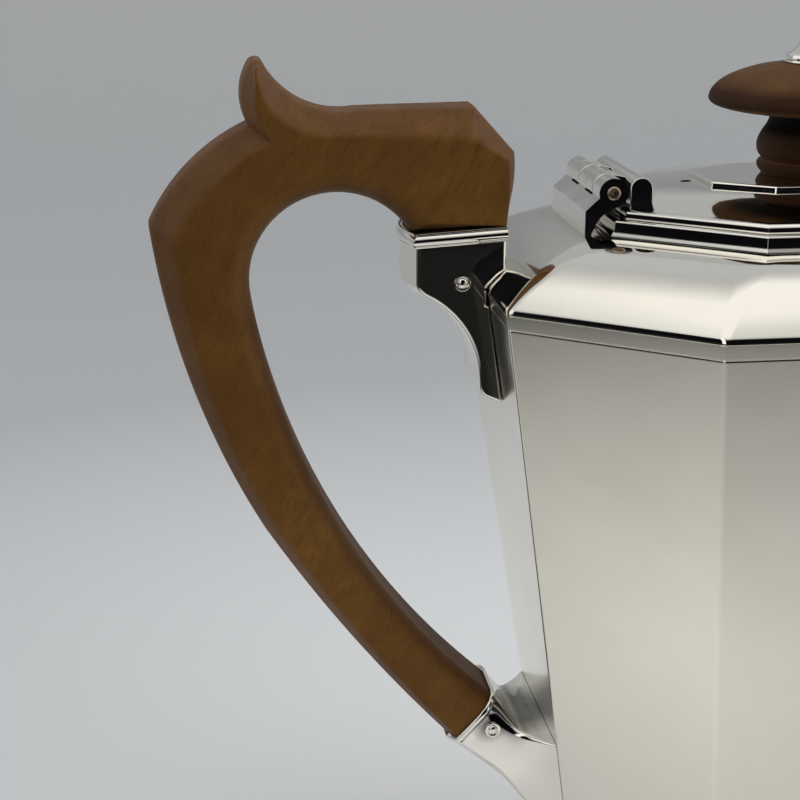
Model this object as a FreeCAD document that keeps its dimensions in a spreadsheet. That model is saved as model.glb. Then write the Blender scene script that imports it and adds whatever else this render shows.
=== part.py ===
import FreeCAD, Part
import math
import os
import re

import Sketcher
from FreeCAD import Placement, Rotation, Vector

# Silver teapot with a hinged lid, wood handle and wood finial. Millimetres, +Z up, +X towards the spout.
# The origin is the centre of the foot's underside. Panels: A at the two ends, B at the four corners,
# C at the two sides.

sizes = {
    # eight-sided body
    "rim_height": "108",
    "rim_length": "110",
    "rim_width": "92",
    "rim_end_panel": "48",
    "rim_side_panel": "56",
    "base_length": "78.8",
    "base_width": "56.8",
    "base_end_panel": "24.6",
    "base_side_panel": "39.4",
    "wall": "1",
    "base_thickness": "1",
    "foot_height": "4",
    "foot_spread": "2.2",
    "foot_land": "3.5",
    "solder_gap": "0.05",
    "scribe_gap": "0.1",
    # lip band and cushion shoulder
    "lip_height": "3",
    "lip_overhang": "0.4",
    "lip_chamfer": "2.2",
    "cushion_rise": "9",
    "cushion_start_angle": "48",
    "cushion_end_angle": "5",
    "mouth_inset": "3.2",
    # lid
    "lid_length": "74.8",
    "lid_width": "63.4",
    "lid_end_panel": "31.2",
    "lid_side_panel": "35.4",
    "lid_gap": "0.3",
    "lid_moulding_height": "2.4",
    "lid_step": "2.6",
    "lid_bead_height": "1.2",
    "lid_crown": "3",
    "lid_sheet": "0.9",
    "bezel_gap": "0.8",
    "bezel_depth": "4",
    "vent_bore": "1.8",
    "vent_offset": "2.3",
    # finial
    "plate_length": "37.8",
    "plate_width": "25",
    "plate_end": "12.8",
    "plate_side": "20",
    "plate_thickness": "1.2",
    "knob_foot_radius": "8",
    "knob_bead_height": "2.5",
    "knob_bead_bow": "0.8",
    "knob_bulge_radius": "8.3",
    "knob_bulge_height": "4.1",
    "knob_bulge_bow": "0.85",
    "knob_neck_radius": "7.3",
    "knob_neck_height": "9.4",
    "knob_neck_bow": "0.35",
    "disc_radius": "17.3",
    "disc_under_bow": "0.5",
    "disc_edge_height": "12.2",
    "disc_edge_round": "0.3",
    "disc_edge_rise": "0.5",
    "disc_top_radius": "5.4",
    "disc_top_height": "18.6",
    "disc_top_bow": "1.6",
    "button_radius": "5.2",
    "button_flange": "0.9",
    "button_neck_radius": "2.3",
    "button_height": "7",
    "stud_radius": "1.5",
    "stud_clearance": "0.1",
    "stud_tail": "1",
    "nut_across": "6",
    "nut_height": "2.4",
    "washer_radius": "4.5",
    "washer_thickness": "0.6",
    # hinge
    "hinge_inset": "1.2",
    "hinge_rise": "6",
    "hinge_length": "24",
    "barrel_radius": "2.35",
    "pin_radius": "0.85",
    "pin_clearance": "0.05",
    "pin_proud": "0.3",
    "knuckle_gap": "0.15",
    "barrel_gap": "0.3",
    "stand_offset": "3.3",
    "stand_foot": "1",
    "stand_drop": "2.6",
    "leaf_width": "3.6",
    # wood handle, outs measured from the end of the rim and heights from the rim
    "handle_thickness": "16",
    "handle_bevel": "4",
    "handle_round": "3",
    "neck_inset": "2.6",
    "neck_bow": "0.8",
    "nose_inset": "4.5",
    "nose_height": "23.9",
    "bevel_run": "6.5",
    "handle_top": "31.2",
    "crest_fall": "0.3",
    "spur_start": "20.5",
    "spur_bow": "2.75",
    "spur_out": "35.2",
    "spur_height": "38.5",
    "spur_width": "2.2",
    "spur_back_bow": "1.15",
    "notch_out": "37.7",
    "notch_height": "28.8",
    "grip_shoulder_bow": "1.95",
    "corner_out": "53.5",
    "corner_height": "13.3",
    "grip_upper_bow": "2.73",
    "grip_middle_out": "36.3",
    "grip_middle_depth": "37.7",
    "grip_lower_bow": "1.23",
    "grip_end_out": "4.9",
    "grip_end_depth": "77.4",
    "grip_inner_inset": "2.3",
    "grip_inner_depth": "69.7",
    "grip_inner_bow": "7.2",
    "arch_out": "37.8",
    "arch_height": "1.9",
    "arch_bow": "11.2",
    "seat_out": "12.5",
    "seat_height": "11.85",
    "seat_tilt_rise": "0.95",
    # sockets
    "socket_lap": "0.2",
    "socket_bulge": "1.6",
    "cut_margin": "2",
    "socket_corner_height": "3.4",
    "socket_toe_out": "1.4",
    "socket_toe_depth": "13.6",
    "socket_tip_depth": "15.8",
    "socket_ogee_bow": "2.2",
    "upper_band_height": "2.3",
    "upper_band_proud": "0.7",
    "tenon_thickness": "12",
    "tenon_margin": "3",
    "tenon_depth": "9.5",
    "tenon_clearance": "0.1",
    "tenon_root": "0.5",
    "rivet_radius": "1.05",
    "rivet_proud": "0.35",
    "rivet_clearance": "0.03",
    "upper_rivet_out": "4.4",
    "upper_rivet_height": "3.8",
    "lower_rivet_reach": "2.5",
    "lower_rivet_lift": "1.4",
    "socket_flare": "0.6",
    "lower_band_width": "1.2",
    "lower_band_proud": "0.5",
    "waist_share": "0.411",
    "waist_depth": "78.6",
    "waist_half_height": "4.5",
    "waist_half_width": "9.6",
    "waist_round": "1.4",
    "flange_top_depth": "74.6",
    "flange_bottom_depth": "94.5",
    "flange_side_margin": "0.5",
    "flange_round": "0.6",
    "underside_bevel": "1",
    # spout
    "spout_root_height": "44",
    "spout_root_half_height": "22",
    "spout_root_half_width": "12",
    "spout_waist_reach": "9",
    "spout_waist_height": "60",
    "spout_waist_half_height": "12.5",
    "spout_waist_half_width": "9",
    "spout_neck_reach": "29",
    "spout_neck_height": "90",
    "spout_neck_half_height": "7.4",
    "spout_neck_half_width": "7",
    "spout_tip_reach": "49.06",
    "spout_tip_height": "114",
    "spout_tip_half_height": "5.8",
    "spout_tip_half_width": "5.6",
    "spout_wall": "1",
    "spout_corner_share": "0.55",
    "strainer_bore": "3",
    "strainer_pitch": "5.5",
}

doc = FreeCAD.newDocument("Teapot")
sheet = doc.addObject("Spreadsheet::Sheet", "Sizes")
for row, (alias, value) in enumerate(sizes.items(), start=1):
    sheet.set("A%d" % row, alias)
    sheet.set("B%d" % row, value)
    sheet.setAlias("B%d" % row, alias)
doc.recompute()

pieces = []


# Expressions: a text such as "rim_height + wall" names cells of the sheet

def cells(text):
    def cell(match):
        word = match.group()
        return "Sizes." + word if word in sizes else word

    return re.sub(r"[a-z][a-z_]*", cell, text)


def number(text):
    return float(sheet.evalExpression(cells(text)))


# Bodies and sketches

def new_piece(label):
    body = doc.addObject("PartDesign::Body", label)
    body.Label = label
    pieces.append(body)
    return body


def new_sketch(body, name, role, lift="0"):
    sketch = body.newObject("Sketcher::SketchObject", name)
    plane = [item for item in body.Origin.OriginFeatures if item.Role == role][0]
    sketch.AttachmentSupport = [(plane, "")]
    sketch.MapMode = "FlatFace"
    if lift != "0":
        sketch.setExpression("AttachmentOffset.Base.z", cells(lift))
    return sketch


def tilted_sketch(body, name, x, z, rise_angle):
    # local x runs along +Y, local y points up the section, the normal rises at rise_angle from +X
    sketch = new_sketch(body, name, "XY_Plane")
    turn = math.radians(rise_angle)
    upward = Vector(-math.sin(turn), 0, math.cos(turn))
    along = Vector(math.cos(turn), 0, math.sin(turn))
    sketch.AttachmentOffset = Placement(Vector(0, 0, 0), Rotation(Vector(0, 1, 0), upward, along, "ZYX"))
    sketch.setExpression("AttachmentOffset.Base.x", cells(x))
    sketch.setExpression("AttachmentOffset.Base.z", cells(z))
    return sketch


def fix_point(sketch, geometry, end, x, y):
    for kind, axis, text in (("DistanceX", -2, x), ("DistanceY", -1, y)):
        value = number(text)
        if abs(value) < 1e-9:
            sketch.addConstraint(Sketcher.Constraint("PointOnObject", geometry, end, axis))
        else:
            index = sketch.addConstraint(Sketcher.Constraint(kind, -1, 1, geometry, end, value))
            sketch.setExpression("Constraints[%d]" % index, cells(text))


def arc_radius(start, finish, bow):
    chord = "(((%s) - (%s))^2 + ((%s) - (%s))^2)" % (finish[0], start[0], finish[1], start[1])
    return "%s / (8 * (%s)) + (%s) / 2" % (chord, bow, bow)


def arc_through(start, finish, radius, clockwise):
    half = (finish - start) * 0.5
    reach = math.sqrt(max(radius * radius - half.Length * half.Length, 0))
    side = Vector(half.y, -half.x, 0) if clockwise else Vector(-half.y, half.x, 0)
    centre = start + half + side.normalize() * reach
    first, last = (finish, start) if clockwise else (start, finish)
    angles = [math.atan2(point.y - centre.y, point.x - centre.x) for point in (first, last)]
    if angles[1] < angles[0]:
        angles[1] += 2 * math.pi
    return Part.ArcOfCircle(Part.Circle(centre, Vector(0, 0, 1), radius), angles[0], angles[1])


def outline(sketch, corners, bows=None):
    # bows: edge index to (bow, clockwise), the height of the arc that replaces the straight edge
    bows = bows or {}
    points = [Vector(number(x), number(y), 0) for x, y in corners]
    count = len(corners)
    ends = []
    for index in range(count):
        start, finish = points[index], points[(index + 1) % count]
        if index in bows:
            bow, clockwise = bows[index]
            radius = arc_radius(corners[index], corners[(index + 1) % count], bow)
            edge = sketch.addGeometry(arc_through(start, finish, number(radius), clockwise), False)
            ends.append((edge, 2, 1) if clockwise else (edge, 1, 2))
        else:
            edge = sketch.addGeometry(Part.LineSegment(start, finish), False)
            ends.append((edge, 1, 2))
    for index in range(count):
        following = ends[(index + 1) % count]
        edge, _, finish = ends[index]
        sketch.addConstraint(Sketcher.Constraint("Coincident", edge, finish, following[0], following[1]))
    for index, (x, y) in enumerate(corners):
        fix_point(sketch, ends[index][0], ends[index][1], x, y)
    for index, (bow, clockwise) in bows.items():
        radius = arc_radius(corners[index], corners[(index + 1) % count], bow)
        place = sketch.addConstraint(Sketcher.Constraint("Radius", ends[index][0], number(radius)))
        sketch.setExpression("Constraints[%d]" % place, cells(radius))
    return sketch


def circle(sketch, x, y, radius):
    centre = Vector(number(x), number(y), 0)
    edge = sketch.addGeometry(Part.Circle(centre, Vector(0, 0, 1), number(radius)), False)
    fix_point(sketch, edge, 3, x, y)
    place = sketch.addConstraint(Sketcher.Constraint("Radius", edge, number(radius)))
    sketch.setExpression("Constraints[%d]" % place, cells(radius))
    return sketch


# Features

def prism(body, kind, name, sketch, length, symmetric=False):
    feature = body.newObject("PartDesign::" + kind, name)
    feature.Profile = sketch
    feature.setExpression("Length", cells(length))
    if symmetric:
        feature.SideType = "Symmetric"
    doc.recompute()
    return feature


def pocket_through(body, name, sketch, reverse=False, both=False):
    feature = body.newObject("PartDesign::Pocket", name)
    feature.Profile = sketch
    feature.Type = "ThroughAll"
    feature.Reversed = reverse
    if both:
        feature.SideType = "Symmetric"
    doc.recompute()
    return feature


def loft(body, kind, name, sections, ruled):
    feature = body.newObject("PartDesign::" + kind, name)
    feature.Profile = sections[0]
    feature.Sections = sections[1:]
    feature.Ruled = ruled
    doc.recompute()
    return feature


def revolve(body, name, sketch):
    feature = body.newObject("PartDesign::Revolution", name)
    feature.Profile = sketch
    feature.ReferenceAxis = (sketch, ["V_Axis"])
    feature.Angle = 360
    doc.recompute()
    return feature


def edge_names(feature, spots):
    names = []
    for index, edge in enumerate(feature.Shape.Edges, start=1):
        if any(edge.distToShape(Part.Vertex(spot))[0] < 1e-4 for spot in spots):
            names.append("Edge%d" % index)
    return names


# Eight-sided rings: (length, width, end panel, side panel) as expressions

rim_ring = ("rim_length", "rim_width", "rim_end_panel", "rim_side_panel")
base_ring = ("base_length", "base_width", "base_end_panel", "base_side_panel")
lid_ring = ("lid_length", "lid_width", "lid_end_panel", "lid_side_panel")
plate_ring = ("plate_length", "plate_width", "plate_end", "plate_side")


def inset(ring, distance):
    run = "((%s) - (%s))" % (ring[0], ring[3])
    fall = "((%s) - (%s))" % (ring[1], ring[2])
    slant = "sqrt(%s^2 + %s^2)" % (run, fall)
    end_turn = "%s / (%s + %s)" % (run, slant, fall)
    side_turn = "%s / (%s + %s)" % (fall, slant, run)
    shares = ("1", "1", end_turn, side_turn)
    return tuple("(%s) - 2 * (%s) * (%s)" % (side, distance, share) for side, share in zip(ring, shares))


def blend(first, second, share):
    return tuple("(%s) + ((%s) - (%s)) * %.6f" % (one, two, one, share) for one, two in zip(first, second))


def ring_sketch(body, name, ring, height):
    length, width, end, side = ["(%s) / 2" % text for text in ring]
    quarter = [(length, end), (side, width)]
    corners = [(x, y) for x, y in quarter]
    corners += [("-(%s)" % x, y) for x, y in reversed(quarter)]
    corners += [("-(%s)" % x, "-(%s)" % y) for x, y in quarter]
    corners += [(x, "-(%s)" % y) for x, y in reversed(quarter)]
    return outline(new_sketch(body, name, "XY_Plane", height), corners)


def ring_loft(body, kind, name, levels, ruled=True):
    sections = []
    for index, (ring, height) in enumerate(levels):
        sections.append(ring_sketch(body, "%s_%d" % (name, index), ring, height))
    return loft(body, kind, name, sections, ruled)


# Heights and places that several pieces share

lip_top = "rim_height + lip_height"
shoulder_top = "rim_height + lip_height + cushion_rise"
lid_bottom = shoulder_top + " + lid_gap"
moulding_top = lid_bottom + " + lid_moulding_height"
crown_height = moulding_top + " + lid_crown"
plate_top = crown_height + " + plate_thickness"
knob_top = plate_top + " + disc_top_height"
hinge_x = "-(lid_length / 2 - hinge_inset)"
hinge_z = shoulder_top + " + lid_gap + hinge_rise"
body_height = "(rim_height - foot_height)"


def wall_out(depth):
    # half length of the body at a depth below the rim
    return "(rim_length / 2 - (rim_length - base_length) / 2 * (%s) / %s)" % (depth, body_height)


def panel_half(depth):
    # half width of the end panel at a depth below the rim
    return "(rim_end_panel / 2 - (rim_end_panel - base_end_panel) / 2 * (%s) / %s)" % (depth, body_height)


def out(distance):
    return "-(rim_length / 2 + (%s))" % distance


def above_rim(height):
    return "rim_height + (%s)" % height


wall_lean = math.degrees(math.atan(number("(rim_length - base_length) / 2 / (rim_height - foot_height)")))
start_angle = math.radians(number("cushion_start_angle"))
end_angle = math.radians(number("cushion_end_angle"))
cushion_run = math.sin(start_angle) - math.sin(end_angle)
cushion_lift = math.cos(end_angle) - math.cos(start_angle)


def cushion_level(angle):
    # share of the run and of the rise where the cushion's slope is this angle
    inward = (math.sin(start_angle) - math.sin(angle)) / cushion_run
    return inward, (math.cos(angle) - math.cos(start_angle)) / cushion_lift


def cushion_height(inward):
    # height of the end panel's cushion at a distance inward from the rim
    share = number("(%s) / ((rim_length - lid_length) / 2)" % inward)
    angle = math.asin(math.sin(start_angle) - share * cushion_run)
    return lip_top + " + cushion_rise * %.6f" % cushion_level(angle)[1]


# Body: wall with a pierced strainer, bottom, foot

body_wall = new_piece("body_wall")
ring_loft(body_wall, "AdditiveLoft", "wall_outside", [(base_ring, "foot_height"), (rim_ring, "rim_height")])
wall_inside = [(inset(base_ring, "wall"), "foot_height"), (inset(rim_ring, "wall"), "rim_height")]
ring_loft(body_wall, "SubtractiveLoft", "wall_inside", wall_inside)
strainer_rows = (1, 2, 3, 2, 3, 2, 1)
piercings = new_sketch(body_wall, "strainer_piercings", "YZ_Plane")
for row, count in enumerate(strainer_rows):
    level = "spout_root_height + strainer_pitch * sqrt(0.75) * %g" % (row - (len(strainer_rows) - 1) / 2)
    for column in range(count):
        across = "strainer_pitch * %g" % (column - (count - 1) / 2)
        circle(piercings, across, level, "strainer_bore / 2")
pocket_through(body_wall, "strainer", piercings, reverse=True)

base_plate = new_piece("base_plate")
base_edge = ring_sketch(base_plate, "edge", base_ring, "foot_height - base_thickness")
prism(base_plate, "Pad", "sheet", base_edge, "base_thickness")

foot_rim = new_piece("foot_rim")
foot_ring = inset(base_ring, "-foot_spread")
foot_levels = [(foot_ring, "0"), (foot_ring, "foot_height * 0.25")]
foot_levels.append((base_ring, "foot_height - base_thickness"))
ring_loft(foot_rim, "AdditiveLoft", "spread", foot_levels)
foot_inside = ring_sketch(foot_rim, "inside", inset(base_ring, "foot_land"), "0")
pocket_through(foot_rim, "hollow", foot_inside, reverse=True)

# Lip band and cushion shoulder

rim_moulding = new_piece("rim_moulding")
lip_ring = inset(rim_ring, "-lip_overhang")
lip_edge = inset(rim_ring, "-lip_overhang / 3")
lip_levels = [(lip_edge, "rim_height"), (lip_ring, "rim_height + lip_chamfer")]
lip_levels += [(lip_ring, lip_top + " - lip_overhang / 2"), (lip_edge, lip_top)]
ring_loft(rim_moulding, "AdditiveLoft", "band", lip_levels)
lip_inside = ring_sketch(rim_moulding, "inside", rim_ring, "rim_height")
pocket_through(rim_moulding, "inside_face", lip_inside, reverse=True)

shoulder = new_piece("shoulder")
cushion_steps = 4
flange = ring_sketch(shoulder, "flange_outline", rim_ring, "rim_height")
prism(shoulder, "Pad", "flange", flange, "lip_height")
outer_levels = []
inner_levels = []
for step in range(cushion_steps + 1):
    slope = start_angle + (end_angle - start_angle) * step / cushion_steps
    run_share, rise_share = cushion_level(slope)
    level = lip_top + " + cushion_rise * %.6f" % rise_share
    ring = blend(rim_ring, lid_ring, run_share)
    outer_levels.append((ring, level))
    inner_ring = inset(ring, "wall * %.6f" % math.sin(slope))
    inner_levels.append((inner_ring, level + " - wall * %.6f" % math.cos(slope)))
ring_loft(shoulder, "AdditiveLoft", "cushion", outer_levels, ruled=False)
inner_start = (inset(rim_ring, "wall"), "rim_height")
ring_loft(shoulder, "SubtractiveLoft", "flange_inside", [inner_start, inner_levels[0]])
ring_loft(shoulder, "SubtractiveLoft", "cushion_inside", inner_levels, ruled=False)
mouth = ring_sketch(shoulder, "mouth_outline", inset(lid_ring, "mouth_inset"), "rim_height")
pocket_through(shoulder, "mouth", mouth, reverse=True)

# Spout: eight-sided sections along a rising line, hollow, scribed to the end panel

spout = new_piece("spout")
spout_angles = (-wall_lean, 38, 62, 50)
spout_stations = [
    (wall_out("rim_height - spout_root_height"), "spout_root_height", "spout_root"),
    ("rim_length / 2 + spout_waist_reach", "spout_waist_height", "spout_waist"),
    ("rim_length / 2 + spout_neck_reach", "spout_neck_height", "spout_neck"),
    ("rim_length / 2 + spout_tip_reach", "spout_tip_height", "spout_tip"),
]


def spout_sections(name, thickness):
    sections = []
    for (x, z, size), angle in zip(spout_stations, spout_angles):
        half_width = "(%s_half_width - %s)" % (size, thickness)
        half_height = "(%s_half_height - %s)" % (size, thickness)
        sketch = tilted_sketch(spout, "%s_%s" % (name, size), x, z, angle)
        cut = "spout_corner_share * %s" % half_width
        quarter = [(half_width, "%s - %s" % (half_height, cut)), ("%s - %s" % (half_width, cut), half_height)]
        corners = [(u, v) for u, v in quarter]
        corners += [("-(%s)" % u, v) for u, v in reversed(quarter)]
        corners += [("-(%s)" % u, "-(%s)" % v) for u, v in quarter]
        corners += [(u, "-(%s)" % v) for u, v in reversed(quarter)]
        sections.append(outline(sketch, corners))
    return sections


loft(spout, "AdditiveLoft", "outside", spout_sections("outside", "0"), False)
loft(spout, "SubtractiveLoft", "bore", spout_sections("bore", "spout_wall"), False)

# Lid: moulded edge, stepped top, bezel that drops into the mouth

lid_moulding = new_piece("lid_moulding")
moulding_levels = []
for lift in (-90, -54, -18, 18, 54, 90):
    inward = "lid_moulding_height / 2 * %.6f" % (1 - math.cos(math.radians(lift)))
    level = lid_bottom + " + lid_moulding_height / 2 * %.6f" % (1 + math.sin(math.radians(lift)))
    moulding_levels.append((inset(lid_ring, inward), level))
ring_loft(lid_moulding, "AdditiveLoft", "edge", moulding_levels)
bezel_ring = inset(lid_ring, "mouth_inset + bezel_gap")
moulding_inside = ring_sketch(lid_moulding, "inside", bezel_ring, lid_bottom)
pocket_through(lid_moulding, "inside_face", moulding_inside, reverse=True)

lid_shell = new_piece("lid_shell")
bead_top = moulding_top + " + lid_bead_height"
lid_levels = [
    (inset(lid_ring, "lid_step"), moulding_top),
    (inset(lid_ring, "lid_step + lid_bead_height * 0.2"), bead_top),
    (inset(lid_ring, "lid_step + lid_bead_height * 0.9"), bead_top + " + lid_bead_height * 0.3"),
    (plate_ring, crown_height),
]
ring_loft(lid_shell, "AdditiveLoft", "outside", lid_levels)
hollow_levels = [
    (inset(lid_ring, "lid_step + lid_sheet"), moulding_top),
    (
        inset(lid_ring, "lid_step + lid_bead_height * 0.9 + lid_sheet"),
        bead_top + " + lid_bead_height * 0.3 - lid_sheet",
    ),
    (plate_ring, crown_height + " - lid_sheet"),
]
ring_loft(lid_shell, "SubtractiveLoft", "hollow", hollow_levels)
lid_bores = new_sketch(lid_shell, "lid_bores", "XY_Plane", moulding_top)
circle(lid_bores, "-(plate_length / 2 + vent_offset)", "0", "vent_bore / 2")
circle(lid_bores, "0", "0", "stud_radius + stud_clearance")
pocket_through(lid_shell, "steam_hole_and_stud_hole", lid_bores, reverse=True)

lid_bezel = new_piece("lid_bezel")
bezel_bottom = lid_bottom + " - bezel_depth"
bezel_outline = ring_sketch(lid_bezel, "outside", bezel_ring, bezel_bottom)
prism(lid_bezel, "Pad", "strip", bezel_outline, "bezel_depth + lid_moulding_height")
bezel_inner_ring = inset(lid_ring, "mouth_inset + bezel_gap + lid_sheet")
bezel_inside = ring_sketch(lid_bezel, "inside", bezel_inner_ring, bezel_bottom)
pocket_through(lid_bezel, "opening", bezel_inside, reverse=True)

# Finial: plate, turned knob, button, stud, washer and nut

finial_plate = new_piece("finial_plate")
plate_edge = ring_sketch(finial_plate, "edge", plate_ring, crown_height)
prism(finial_plate, "Pad", "plate", plate_edge, "plate_thickness")
plate_bore = new_sketch(finial_plate, "bore", "XY_Plane", crown_height)
circle(plate_bore, "0", "0", "stud_radius + stud_clearance")
pocket_through(finial_plate, "stud_hole", plate_bore, reverse=True)

finial_knob = new_piece("finial_knob")
knob_bore = "stud_radius + stud_clearance"
knob_profile = [
    (knob_bore, plate_top),
    ("knob_foot_radius", plate_top),
    ("knob_bulge_radius", plate_top + " + knob_bead_height"),
    ("knob_bulge_radius", plate_top + " + knob_bead_height + knob_bulge_height"),
    ("knob_neck_radius", plate_top + " + knob_neck_height"),
    ("disc_radius - disc_edge_round", plate_top + " + disc_edge_height - disc_edge_round"),
    ("disc_radius - disc_edge_round", plate_top + " + disc_edge_height + disc_edge_rise"),
    ("disc_top_radius", knob_top + " - 0.2"),
    (knob_bore, knob_top),
]
knob_bows = {
    1: ("knob_bead_bow", False),
    2: ("knob_bulge_bow", False),
    3: ("knob_neck_bow", True),
    4: ("disc_under_bow", False),
    5: ("disc_edge_round", False),
    6: ("disc_top_bow", False),
}
knob_sketch = new_sketch(finial_knob, "profile", "XZ_Plane")
revolve(finial_knob, "turning", outline(knob_sketch, knob_profile, knob_bows))

finial_button = new_piece("finial_button")
button_seat = knob_top
button_profile = [
    ("0", button_seat + " + button_height * 0.6"),
    (knob_bore, button_seat + " + button_height * 0.6"),
    (knob_bore, button_seat),
    ("button_radius", button_seat),
    ("button_radius", button_seat + " + button_flange"),
    ("button_neck_radius", button_seat + " + button_height * 0.62"),
    ("0", button_seat + " + button_height"),
]
dome_height = "button_height * 0.38"
dome_radius = "((button_neck_radius^2 + (%s)^2) / (2 * %s))" % (dome_height, dome_height)
dome_bow = "%s - sqrt(%s^2 - (button_neck_radius^2 + (%s)^2) / 4)" % (dome_radius, dome_radius, dome_height)
button_bows = {4: ("0.9", True), 5: (dome_bow, False)}
button_sketch = new_sketch(finial_button, "profile", "XZ_Plane")
revolve(finial_button, "turning", outline(button_sketch, button_profile, button_bows))

lid_underside = crown_height + " - lid_sheet"
finial_washer = new_piece("finial_washer")
washer_bottom = lid_underside + " - washer_thickness"
washer_face = new_sketch(finial_washer, "face", "XY_Plane", washer_bottom)
circle(washer_face, "0", "0", "washer_radius")
circle(washer_face, "0", "0", "stud_radius + stud_clearance")
prism(finial_washer, "Pad", "disc", washer_face, "washer_thickness")

finial_nut = new_piece("finial_nut")
nut_bottom = washer_bottom + " - nut_height"
nut_corner = "nut_across / sqrt(3)"
nut_points = []
for corner in range(6):
    turn = corner * math.pi / 3
    nut_points.append(("(%s) * %.6f" % (nut_corner, math.cos(turn)), "(%s) * %.6f" % (nut_corner, math.sin(turn))))
nut_face = outline(new_sketch(finial_nut, "face", "XY_Plane", nut_bottom), nut_points)
circle(nut_face, "0", "0", "stud_radius + stud_clearance")
prism(finial_nut, "Pad", "hexagon", nut_face, "nut_height")

finial_stud = new_piece("finial_stud")
stud_bottom = nut_bottom + " - stud_tail"
stud_top = knob_top + " + button_height * 0.6"
stud_face = circle(new_sketch(finial_stud, "face", "XY_Plane", stud_bottom), "0", "0", "stud_radius")
prism(finial_stud, "Pad", "rod", stud_face, "(%s) - (%s) - stud_clearance" % (stud_top, stud_bottom))

# Hinge: fixed stand with three knuckles, lid leaf with two, pin

knuckle = "hinge_length / 5"
stand_outer = "-(lid_length / 2 + stand_offset)"
stand_back = "(rim_length - lid_length) / 2 - stand_offset"
stand_foot_outer = cushion_height(stand_back) + " + solder_gap"
stand_foot_inner = cushion_height(stand_back + " + stand_foot") + " + solder_gap"

hinge_stand = new_piece("hinge_stand")
barrel_face = circle(new_sketch(hinge_stand, "barrel_face", "XZ_Plane"), hinge_x, hinge_z, "barrel_radius")
prism(hinge_stand, "Pad", "barrel", barrel_face, "hinge_length", symmetric=True)
stand_points = [
    (stand_outer + " + stand_foot", stand_foot_inner),
    (hinge_x + " - barrel_radius * 0.47", hinge_z + " - barrel_radius * 0.95"),
    (hinge_x + " - barrel_radius * 0.2", hinge_z + " - barrel_radius * 0.7"),
    (hinge_x + " - barrel_radius * 0.97", hinge_z + " - barrel_radius * 0.25"),
    (stand_outer, hinge_z + " - stand_drop"),
    (stand_outer, stand_foot_outer),
]
stand_face = outline(new_sketch(hinge_stand, "stand_face", "XZ_Plane"), stand_points)
prism(hinge_stand, "Pad", "stand", stand_face, "hinge_length", symmetric=True)
for side, place in (("near", "(%s)" % knuckle), ("far", "-(%s)" % knuckle)):
    slot_face = new_sketch(hinge_stand, side + "_slot_face", "XZ_Plane", place)
    circle(slot_face, hinge_x, hinge_z, "barrel_radius + barrel_gap")
    prism(hinge_stand, "Pocket", side + "_slot", slot_face, knuckle + " + 2 * knuckle_gap", symmetric=True)
pin_bore = new_sketch(hinge_stand, "bore_face", "XZ_Plane")
circle(pin_bore, hinge_x, hinge_z, "pin_radius + pin_clearance")
pocket_through(hinge_stand, "bore", pin_bore, both=True)

lid_slope_start = "(lid_length / 2 - lid_step - lid_bead_height * 0.9)"
lid_slope_low = "(%s + lid_bead_height * 0.3)" % bead_top


def lid_top_at(x):
    # height of the lid's end panel at a distance from the axis
    share = "(%s - (%s)) / (%s - plate_length / 2)" % (lid_slope_start, x, lid_slope_start)
    return "%s + (%s - %s) * %s + solder_gap" % (lid_slope_low, "(%s)" % crown_height, lid_slope_low, share)


leaf_inner = hinge_x + " + barrel_radius + barrel_gap"
leaf_outer = leaf_inner + " + leaf_width"
leaf_shoulder = hinge_z + " + barrel_radius - leaf_width * 0.45"
hinge_lid_leaf = new_piece("hinge_lid_leaf")
leaf_points = [
    (leaf_inner, lid_top_at("-(%s)" % leaf_inner)),
    (leaf_outer, lid_top_at("-(%s)" % leaf_outer)),
    (leaf_outer, leaf_shoulder),
    (leaf_inner, leaf_shoulder),
]
leaf_face = new_sketch(hinge_lid_leaf, "leaf_face", "XZ_Plane")
outline(leaf_face, leaf_points, {2: ("leaf_width * 0.45", False)})
prism(hinge_lid_leaf, "Pad", "leaf", leaf_face, "hinge_length", symmetric=True)
for side, place in (("near", "(%s)" % knuckle), ("far", "-(%s)" % knuckle)):
    lug_face = new_sketch(hinge_lid_leaf, side + "_lug_face", "XZ_Plane", place)
    lug_points = [
        (hinge_x, hinge_z + " + barrel_radius"),
        (hinge_x + " - barrel_radius", hinge_z),
        (hinge_x, hinge_z + " - barrel_radius"),
        (leaf_inner + " + leaf_width / 4", hinge_z + " - barrel_radius * 0.5"),
        (leaf_inner + " + leaf_width / 4", hinge_z + " + barrel_radius * 0.7"),
    ]
    quarter_bow = "barrel_radius * (1 - sqrt(0.5))"
    outline(lug_face, lug_points, {0: (quarter_bow, False), 1: (quarter_bow, False)})
    prism(hinge_lid_leaf, "Pad", side + "_lug", lug_face, knuckle + " - 2 * knuckle_gap", symmetric=True)
lug_bore = new_sketch(hinge_lid_leaf, "bore_face", "XZ_Plane")
circle(lug_bore, hinge_x, hinge_z, "pin_radius + pin_clearance")
pocket_through(hinge_lid_leaf, "bore", lug_bore, both=True)

hinge_pin = new_piece("hinge_pin")
pin_face = circle(new_sketch(hinge_pin, "pin_face", "XZ_Plane"), hinge_x, hinge_z, "pin_radius")
prism(hinge_pin, "Pad", "pin", pin_face, "hinge_length + 2 * pin_proud", symmetric=True)

# Wood handle: outline, bevelled outside, rounded inside, a tenon at each end

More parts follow.
